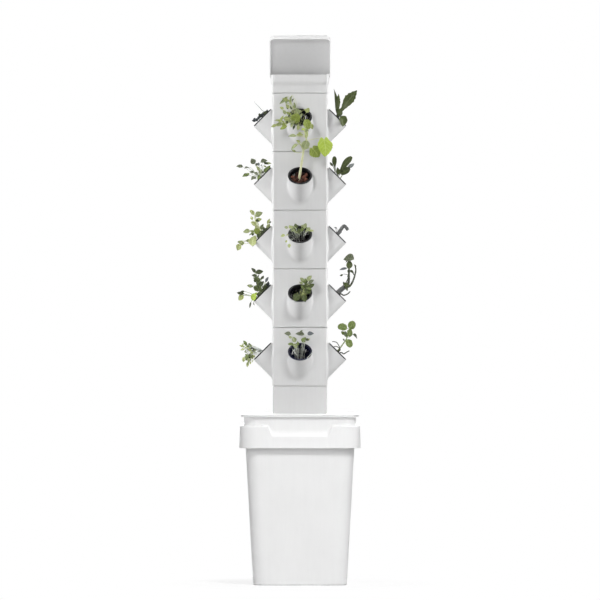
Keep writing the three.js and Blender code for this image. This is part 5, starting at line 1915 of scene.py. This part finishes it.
RIGHT_PLANTS = (
    Plant(Finish.DARK_STEM, (
        Leaf(-3, 36.5, 60, 10, 97, OLIVE, Blade.LANCE, 3, 0.25, 0.05, stem=False),
        Leaf(3, 30.5, 48, 11, 88, OLIVE, Blade.TOOTHED, 7, 0.25, 0.06, stem=False),
        Leaf(25, 36.5, 67, 26, 54, OLIVE, Blade.TOOTHED, 6, 0.2, 0.08, stem=False),
        Leaf(13, -7.5, 24, 22, 300, OLIVE, Blade.ROUND, 30, 0.25, 0.3),
        Leaf(6, 12.5, 19.5, 13, 80, OLIVE, ahead=8, face=20),
    ), (
        Twig(8.0, 4.6, ((1, 4.5, 4), (3, 11.5, 4), (5, 18.5, 5))),
    ), level=6.0, stalk=3.4),
    Plant(Finish.GREEN_STEM, (
        Leaf(-4.5, 30, 32, 11, 93, OLIVE, Blade.SPATULA, 5, 0.12, 0.1, stem=False),
        Leaf(17, 25, 53, 15, 54, OLIVE, Blade.SPATULA, 7, 0.12, 0.12, stem=False),
        Leaf(18, 13, 25, 17.5, 35, OLIVE, Blade.ROUND, 9, 0.15, 0.2, 10),
        Leaf(32, 25, 18.5, 10, 40, SILVER, ahead=3), Leaf(-12.6, 28, 12, 5.5, 125, DARK, ahead=4),
        Leaf(2, 12, 17.5, 11, 90, OLIVE, ahead=4, face=20),
    ), level=5.0, stalk=2.4),
    Plant(Finish.GREY_STEM, (
        Leaf(-3, 16, 7, 4, 150, SLATE),
    ), (
        Twig(9.0, 7.0, (
            (0, 0, 2), (6, 8, 3), (12, 16.5, 4), (16, 20, 4), (20, 17.5, 5), (25, 10.5, 5),
        )),
        Twig(4.0, 3.0, ((3, 1, 8), (8, 5, 9), (11, 11, 7), (12, 16, 5))),
        Twig(1.6, 1.2, ((-1, 4, 3), (-2, 10, 4), (-2, 15, 4))),
    ), level=5.0, stalk=0.9),
    Plant(Finish.DARK_STEM, (
        Leaf(26, 79.5, 25, 20, 170, GREY, ahead=6, cup=0.4, droop=0.45),
        Leaf(27.6, 65.5, 20.5, 14.5, 85, OLIVE, ahead=8), Leaf(14, 55.5, 17.5, 7.5, 187, SLATE, ahead=8),
        Leaf(34, 48.5, 11, 6.5, -30, DARK, stem=False), Leaf(41, 62.5, 7.5, 4.5, 120, DARK, stem=False),
        Leaf(22, 19.5, 13, 10, 60, OLIVE, ahead=8), Leaf(28, 17.5, 11, 7.5, 20, DARK, ahead=7),
        Leaf(17, 21.5, 11, 7.5, 120, DARK, ahead=7), Leaf(22, 9.5, 9.5, 6.5, -60, DARK, ahead=10),
        Leaf(26, 38.5, 7.5, 5.5, 100, DARK, stem=False),
    ), (
        Twig(8.0, 3.2, (
            (8, 7.5, 3), (18, 13.5, 4), (25, 19.5, 5), (27, 31.5, 5), (27, 44.5, 5), (27.6, 64.5, 5),
            (27, 76.5, 5),
        )),
        Twig(7.0, 2.6, (
            (8, 6.5, 1), (20, 12.5, 2), (30, 17.5, 3), (38, 32.5, 3), (42.6, 51.5, 3), (41, 61.5, 3),
        )),
        Twig(3.6, 2.4, ((8, -1.5, 8), (15, -4.5, 12), (24, -1.5, 12), (30, 4.5, 11))),
        Twig(12.0, 11.0, ((3, 2.5, 2), (9, 8, 3), (16, 13.5, 4)), Finish.GREY_STEM),
        Twig(2.6, 2.0, (
            (20, 23.5, 4), (27, 41.5, 5), (30, 51.5, 5), (36, 45.5, 4), (40, 39.5, 3),
        )),
    ), level=5.0, grows=0, extra=3),
    Plant(Finish.GREEN_STEM, (
        Leaf(12.6, 56, 21.5, 20, 160, GREEN, Blade.ROUND, 6, 0.08),
        Leaf(34, 60, 19.5, 17.5, 70, GREEN, Blade.ROUND, 5, 0.08), Leaf(30, 43, 19.5, 13, 80, GREEN, ahead=9),
        Leaf(20, 40, 14, 9, 100, GREY, ahead=4), Leaf(42.5, 36, 14, 9, -25, DARK, cup=0.3, droop=0.5),
        Leaf(28, 19, 19.5, 17.5, 300, GREEN, Blade.ROUND, 8, 0.08), Leaf(15, 27, 6.5, 4.5, 120, GREY),
    ), (
        Twig(3.2, 2.0, ((6, 7, 3), (14, 18, 4), (21, 28, 5), (26, 43, 5), (29, 55, 5))),
        Twig(2.0, 1.8, ((6, 4, 4), (5, 12, 4), (-1, 21, 4), (-11, 23, 3)), Finish.DARK_STEM),
        Twig(2.0, 1.8, ((7, 3, 8), (4, 9, 9), (-2, 12, 8), (-7, 11, 7)), Finish.DARK_STEM),
        Twig(2.8, 2.2, ((9, -2, 8), (15, -5, 12), (22, -1, 12), (28, 2, 11)), Finish.DARK_STEM),
    ), level=8.0, stalk=1.6, grows=0, extra=2),
)


@dataclass
class Growing:
    """One plant while it is drawn in its pot, in front of the wall, with the pebbles round its roots."""

    pot: PotPlace
    plant: Plant
    chance: random.Random
    wall: float
    cup_rim: float = 23.0
    lip_height: float = 2.1
    pebble_sizes: Pair = (8.0, 12.0)
    pebble_layer: float = 7.5
    thickness: float = 0.5
    rows: int = 16
    cells: int = 8
    form: Form = field(default_factory=Form)
    finishes: list[Finish] = field(default_factory=list)
    trunk: list[Vector] = field(default_factory=list)

    def grow(self) -> None:
        """Draws the pebbles, then the bare stems and then the leaves."""
        plant = self.plant
        self.finishes += [plant.stem, plant.pebbles]
        self._pebbles()
        twigs = [self._twig(twig) for twig in plant.twigs]
        if plant.grows is not None:
            self.trunk = twigs[plant.grows]
        for leaf in (*plant.leaves, *self._fillers()):
            self._leaf(leaf)

    def _number(self, finish: Finish) -> int:
        """Returns the number that a finish has on this plant."""
        if finish not in self.finishes:
            self.finishes.append(finish)
        return self.finishes.index(finish)

    def _shift(self) -> list[float]:
        """Returns a random place in the noise, on its X and Y."""
        return [self.chance.uniform(0, 50), self.chance.uniform(0, 50)]

    def _fillers(self) -> list[Leaf]:
        """Returns the small leaves that grow between the plant's larger ones."""
        draw, leaves = self.chance.uniform, self.plant.leaves
        fillers = []
        for index in range(self.plant.extra):
            near = leaves[index % len(leaves)]
            share = draw(0.62, 0.98)
            fillers.append(Leaf(
                near.across * share + draw(-5, 5),
                near.up * share + draw(-3, 5),
                min(near.length, 16) * draw(0.45, 0.7),
                min(near.width, 12) * draw(0.45, 0.7),
                near.angle + draw(-60, 60),
                Finish.DARK_GREEN if index % 4 == 2 else near.finish,
                cup=draw(0.1, 0.35),
                face=draw(0, 40),
                ahead=near.ahead - 2 if near.ahead is not None else None,
            ))
        return fillers

    def _pebbles(self) -> None:
        """Adds the pebbles, in layers down from their level."""
        draw, pot, level = self.chance.uniform, self.pot, self.plant.level
        aside = pot.lean.cross(Vector((0, 0, 1))).normalized()
        other = pot.lean.cross(aside)
        for layer in range(3 if level < 20 else 2):
            depth = self.lip_height - level - layer * self.pebble_layer
            reach = self.cup_rim * (1 + depth / 150) - 6
            count = 1 + round(reach * reach / 21)
            for index in range(count):
                ring = sqrt((index + 0.4) / count) * reach
                angle = index * GOLDEN_ANGLE + layer
                size = draw(*self.pebble_sizes) / 2
                lift = draw(-2.2, 1.2) + (1 - (ring / reach) ** 2) * 3 * (layer == 0)
                middle = pot.middle + pot.lean * (depth - size + lift)
                middle += aside * ring * cos(angle) + other * ring * sin(angle)
                self.form.take(self._pebble(size), Matrix.Translation(middle))

    def _pebble(self, size: float) -> Form:
        """Returns one pebble, a ball pushed out of shape.

        Args:
            size: its radius.

        Returns:
            The pebble.
        """
        draw = self.chance.uniform
        work = bmesh.new()
        fine = 3 if self.plant.pebbles is Finish.CLAY else 2
        bmesh.ops.create_icosphere(work, subdivisions=fine, radius=1.0)
        shift = Vector((*self._shift(), draw(0, 50)))
        stretch = Vector((draw(0.85, 1.1), draw(0.8, 1.0), draw(0.75, 1.0)))
        form = Form()
        points = [
            v.co * stretch * size * (1 + 0.16 * noise.noise(v.co * 1.3 + shift)) for v in work.verts
        ]
        form.add(points, (self.chance.random(), 0.0))
        for face in work.faces:
            form.face([vertex.index for vertex in face.verts], 1)
        work.free()
        return form

    def _root(self, aside: float, other: float) -> Vector:
        """Returns a place among the pebbles, off the pot's axis by two measures in the mouth's plane."""
        across, lean = self.pot.across, self.pot.lean
        sideways = (across - lean * lean.dot(across)).normalized()
        middle = self.pot.middle - lean * (self.plant.level + 5)
        return middle + sideways * aside + lean.cross(sideways) * other

    def _twig(self, twig: Twig) -> list[Vector]:
        """Adds a bare stem that starts among the pebbles.

        Args:
            twig: the stem.

        Returns:
            The line that it follows.
        """
        path = smooth_path([self._root(0.0, 0.0)] + [self.pot.at(*point) for point in twig.points], 5)
        last = len(path) - 1
        radii = [
            blend(twig.foot, twig.tip, step / last) / 2 * (1 + 0.08 * sin(step * 1.9)) for step in range(last)
        ]
        number = self._number(twig.finish or self.plant.stem)
        self.form.take(tube(path, radii + [twig.tip / 2], 9), finish=number)
        return path

    def _depth(self, leaf: Leaf) -> float:
        """Returns how far a leaf lies towards the one who looks at it."""
        if leaf.ahead is not None:
            return leaf.ahead
        if self.pot.bay == "front":
            return max(15 + 0.25 * abs(leaf.across) - 0.2 * leaf.up, 8 - leaf.up) + self.chance.uniform(0, 5)
        return self.chance.uniform(-7, 11)

    def _leaf(self, leaf: Leaf) -> None:
        """Adds one leaf with its stalk, kept in front of the column's wall.

        Args:
            leaf: the leaf.
        """
        pot, chance, front = self.pot, self.chance, self.pot.bay == "front"
        angle = radians(leaf.angle)
        facing = pot.ahead * 0.8 + Vector((0, 0, 0.55)) + pot.across * (0.0 if front else 0.15)
        way = pot.across * cos(angle) + Vector((0, 0, sin(angle)))
        way += pot.ahead * chance.uniform(-0.2, 0.2)
        way.normalize()
        facing = (facing - way * facing.dot(way)).normalized()
        twist = radians(leaf.face * chance.choice((-1, 1)) + chance.uniform(-14, 14))
        facing.rotate(Matrix.Rotation(twist, 3, way))
        middle = pot.at(leaf.across, leaf.up, self._depth(leaf))
        blade = self._blade(leaf)
        aside = way.cross(facing)
        base = middle - way * (leaf.length / 2)
        out = pot.ahead if front else pot.across
        start, finish = len(self.form.points), self._number(leaf.finish)
        for point, mark in zip(blade.points, blade.marks):
            place = base + aside * point.x + way * point.y + facing * point.z
            gap = self.wall - place.dot(out)
            self.form.add([place + out * gap if gap > 0 else place], mark)
        for face in blade.faces:
            self.form.face([start + number for number in face], finish)
        if leaf.stem:
            self._stalk(leaf, base, way, self.trunk)
        elif leaf.blade in (Blade.TOOTHED, Blade.SPATULA):
            self._stalk(leaf, base + way * leaf.length * 0.04, way, [])

    def _stalk(self, leaf: Leaf, base: Vector, way: Vector, trunk: Sequence[Vector]) -> None:
        """Adds the stalk that carries a leaf.

        Args:
            leaf: the leaf.
            base: the leaf's base.
            way: the way that the leaf points.
            trunk: the line that the stalk starts from, or nothing for the pebbles.
        """
        if trunk:
            root = min(trunk[3:], key=lambda point: (point - base).length + max(0.0, point.z - base.z) * 2)
            lead = (base - root) * 0.3
        else:
            aside = min(max(leaf.across * 0.3, -10), 10) + self.chance.uniform(-3, 3)
            root = self._root(aside, self.chance.uniform(-4, 4))
            straight = max(0.0, (base - root).normalized().dot(self.pot.lean))
            lead = self.pot.lean * min(self.plant.level + 12, (base - root).length * 0.55) * (1.25 - straight)
        back = base - way * min(10.0, (base - root).length * 0.3)
        path = []
        for step in range(13):
            t = step / 12
            first, second, third = root.lerp(root + lead, t), (root + lead).lerp(back, t), back.lerp(base, t)
            path.append(first.lerp(second, t).lerp(second.lerp(third, t), t))
        path.append(base + way * 1.2)
        self.form.take(tube(path, [self.plant.stalk / 2 * (1 - 0.5 * step / 13) for step in range(14)], 7))

    def _blade(self, leaf: Leaf) -> Form:
        """Returns a thin closed blade that runs up the Y axis from its base and faces Z.

        Args:
            leaf: the leaf.

        Returns:
            The blade.
        """
        form = Form()
        shift = Vector((*self._shift(), 0))
        sway = self.chance.uniform(-0.06, 0.06) * leaf.length
        skins = []
        for skin in (0.5, -0.5):
            rows = []
            for row in range(self.rows + 1):
                along = row / self.rows
                half = max(leaf.blade.width(min(max(along, 0.015), 0.985)) * leaf.width / 2, 0.25)
                line = []
                for cell in range(self.cells + 1):
                    side = 2 * cell / self.cells - 1
                    wave = noise.noise(Vector((side * 1.4, along * 3.2, 0)) + shift) * 0.07 * leaf.width
                    ripple = sin(along * 15 + shift.x) * 0.018 * leaf.width * abs(side) ** 2
                    curl = leaf.cup * leaf.width * (abs(side) ** 1.4) * (half / leaf.width * 2)
                    fall = leaf.droop * leaf.length * along**2
                    edge = self.thickness * skin * (1 - 0.7 * side * side)
                    x = side * half + sway * sin(pi * along)
                    y = along * leaf.length * (1 - 0.12 * leaf.droop) + leaf.base_dip(along, side)
                    z = curl + wave + ripple - fall + edge
                    line += form.add([Vector((x, y, z))], (along, side))
                rows.append(line)
            skins.append(rows)
        for rows in skins:
            form.stack(rows, closed=False)
        form.band(*(self._rim(rows) for rows in skins))
        return form

    @staticmethod
    def _rim(rows: Rows) -> list[int]:
        """Returns the numbers of the points round a blade's edge."""
        back = [row[0] for row in reversed(rows[1:-1])]
        return [*rows[0], *(row[-1] for row in rows[1:]), *reversed(rows[-1][:-1]), *back]


@dataclass
class Planting(Assembly):
    """The plants in the cups."""

    clearance: float = 1.5
    seed: int = 41

    def build(self) -> None:
        """Builds one plant for each pot."""
        plants = {"front": FRONT_PLANTS, "right": RIGHT_PLANTS, "back": LEFT_PLANTS, "left": LEFT_PLANTS}
        wall = self.layout.column_side / 2 + self.clearance
        for number, pot in enumerate(self.layout.pots()):
            growing = Growing(pot, plants[pot.bay][pot.tier - 1], random.Random(self.seed + number), wall)
            growing.grow()
            where = f"{pot.bay}_{pot.tier}"
            self.shop.piece(f"greens_{where}", growing.form, growing.finishes, f"cup_{where}", "plant_green",
                            f"plant_{where}", edge_angle=60, evened=False)


@dataclass(frozen=True)
class Lamp:
    """A soft square lamp, in metres, watts and degrees of spread."""

    name: str
    place: Triple
    aim: Triple
    width: float
    height: float
    power: float
    spread: float = 180.0

    def hang(self) -> None:
        """Hangs the lamp."""
        light = bpy.data.lights.new(self.name, "AREA")
        light.shape = "RECTANGLE"
        light.size, light.size_y = self.width, self.height
        light.energy = self.power
        light.spread = radians(self.spread)
        holder = added(self.name, light)
        holder.location = self.place
        aim = Vector(self.aim) - Vector(self.place)
        holder.rotation_euler = aim.to_track_quat("-Z", "Y").to_euler()
        holder.visible_camera = False


@dataclass
class Studio:
    """The pale floor, the soft lamps, the plain surroundings and the camera."""

    distance: float = 18.0
    elevation: float = 0.4
    view_height: float = 1.3563
    aim_height: float = 0.641
    sensor: float = 36.0
    sky: float = 0.3
    floor_half: float = 6.0
    lamps: tuple[Lamp, ...] = (
        Lamp("left softbox", (-0.95, -0.03, 0.88), (0.0, -0.03, 0.88), 0.4, 0.84, 0.85, 32.0),
        Lamp("right softbox", (0.95, -0.03, 0.88), (0.0, -0.03, 0.88), 0.4, 0.84, 0.88, 32.0),
        Lamp("front lamp", (0.0, -8.0, 1.0), (0.0, 0.0, 0.6), 2.4, 2.4, 4.2, 60.0),
        Lamp("bucket lamp", (1.1, -2.6, 2.9), (0.0, -0.1, 0.12), 0.8, 0.8, 1.4, 18.0),
        Lamp("column lamp", (-1.6, -4.2, 2.4), (0.0, 0.0, 0.95), 1.0, 1.0, 1.64, 20.0),
        Lamp("cap lamp", (0.35, -2.0, 1.05), (0.0, 0.0, 1.21), 0.3, 0.3, 0.056, 12.0),
        Lamp("back lamp", (0.0, 7.0, 2.6), (0.0, 0.0, 0.6), 2.4, 2.4, 27.0, 60.0),
        Lamp("top lamp", (0.0, -0.3, 3.0), (0.0, 0.0, 0.6), 1.4, 1.4, 9.5),
    )

    def build(self) -> None:
        """Builds the studio."""
        self._camera()
        self._world()
        self._floor()
        for lamp in self.lamps:
            lamp.hang()
        bpy.context.scene.view_settings.view_transform = "Standard"

    def _camera(self) -> None:
        """Sets up the camera at the height and distance of the photograph's view."""
        camera = bpy.data.cameras.new("camera")
        camera.sensor_fit = "VERTICAL"
        camera.sensor_height = self.sensor
        camera.lens = self.sensor * self.distance / self.view_height
        camera.clip_end = 100.0
        holder = added("camera", camera)
        tilt = radians(self.elevation)
        holder.location = (0, -self.distance * cos(tilt), self.aim_height + self.distance * sin(tilt))
        holder.rotation_euler = (QUARTER - tilt, 0, 0)
        bpy.context.scene.camera = holder

    @staticmethod
    def _looked_at(shader: Shader) -> Value:
        """Returns 1 where the surface is looked at directly or through clear vinyl."""
        seen = shader.node("LightPath", output="Is Camera Ray")
        seen = seen + shader.node("LightPath", output="Is Transmission Ray")
        return shader.maths("MINIMUM", seen, 1.0)

    def _world(self) -> None:
        """Makes the surroundings white to look at and softer as a light."""
        shader = Shader("plain surroundings", world=True)
        light = shader.node("Background", None, {"Color": WHITE, "Strength": self.sky})
        white = shader.node("Background", None, {"Color": WHITE, "Strength": 1.0})
        shader.show(shader.node("MixShader", None, {0: self._looked_at(shader), 1: light, 2: white}))
        bpy.context.scene.world = shader.material

    def _floor(self) -> None:
        """Lays the pale floor, which is pure white away from the object and keeps its shadow near it."""
        half = self.floor_half
        mesh = bpy.data.meshes.new("studio_floor")
        corners = [(-half, -half, 0), (half, -half, 0), (half, half, 0), (-half, half, 0)]
        mesh.from_pydata(corners, [], [(0, 1, 2, 3)])
        shader = Shader("studio floor")
        here = shader.place()
        reach = shader.node("VectorMath", {"operation": "LENGTH"}, {0: here}, "Value")
        plain = shader.noise(here, 40.0, 3.0).eased(0.3, 0.7, 0.0, 0.15)
        tone = shader.mixed(plain, (0.93, 0.93, 0.93), (0.9, 0.9, 0.9))
        matt = shader.node("BsdfDiffuse", None, {"Color": tone, "Roughness": 1.0})
        white = shader.node("Emission", None, {"Color": WHITE, "Strength": 1.0})
        share = self._looked_at(shader) * reach.eased(0.17, 0.34, 0.8, 1.0)
        shader.show(shader.node("MixShader", None, {0: share, 1: matt, 2: white}))
        mesh.materials.append(shader.material)
        added("studio_floor", mesh)


def main() -> None:
    """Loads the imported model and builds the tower's pieces in order, then the studio."""
    logging.basicConfig(level=logging.INFO, format="%(message)s", stream=sys.stdout)
    shop, layout = Workshop(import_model()), Layout()
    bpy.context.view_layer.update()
    for assembly in (Reservoir, ReservoirCover, Column, Cap, NetCups, Planting):
        assembly(shop, layout).build()
    Studio().build()
    LOG.info("%d pieces in %d finishes", shop.count, len(shop.made))


if __name__ == "__main__":
    main()
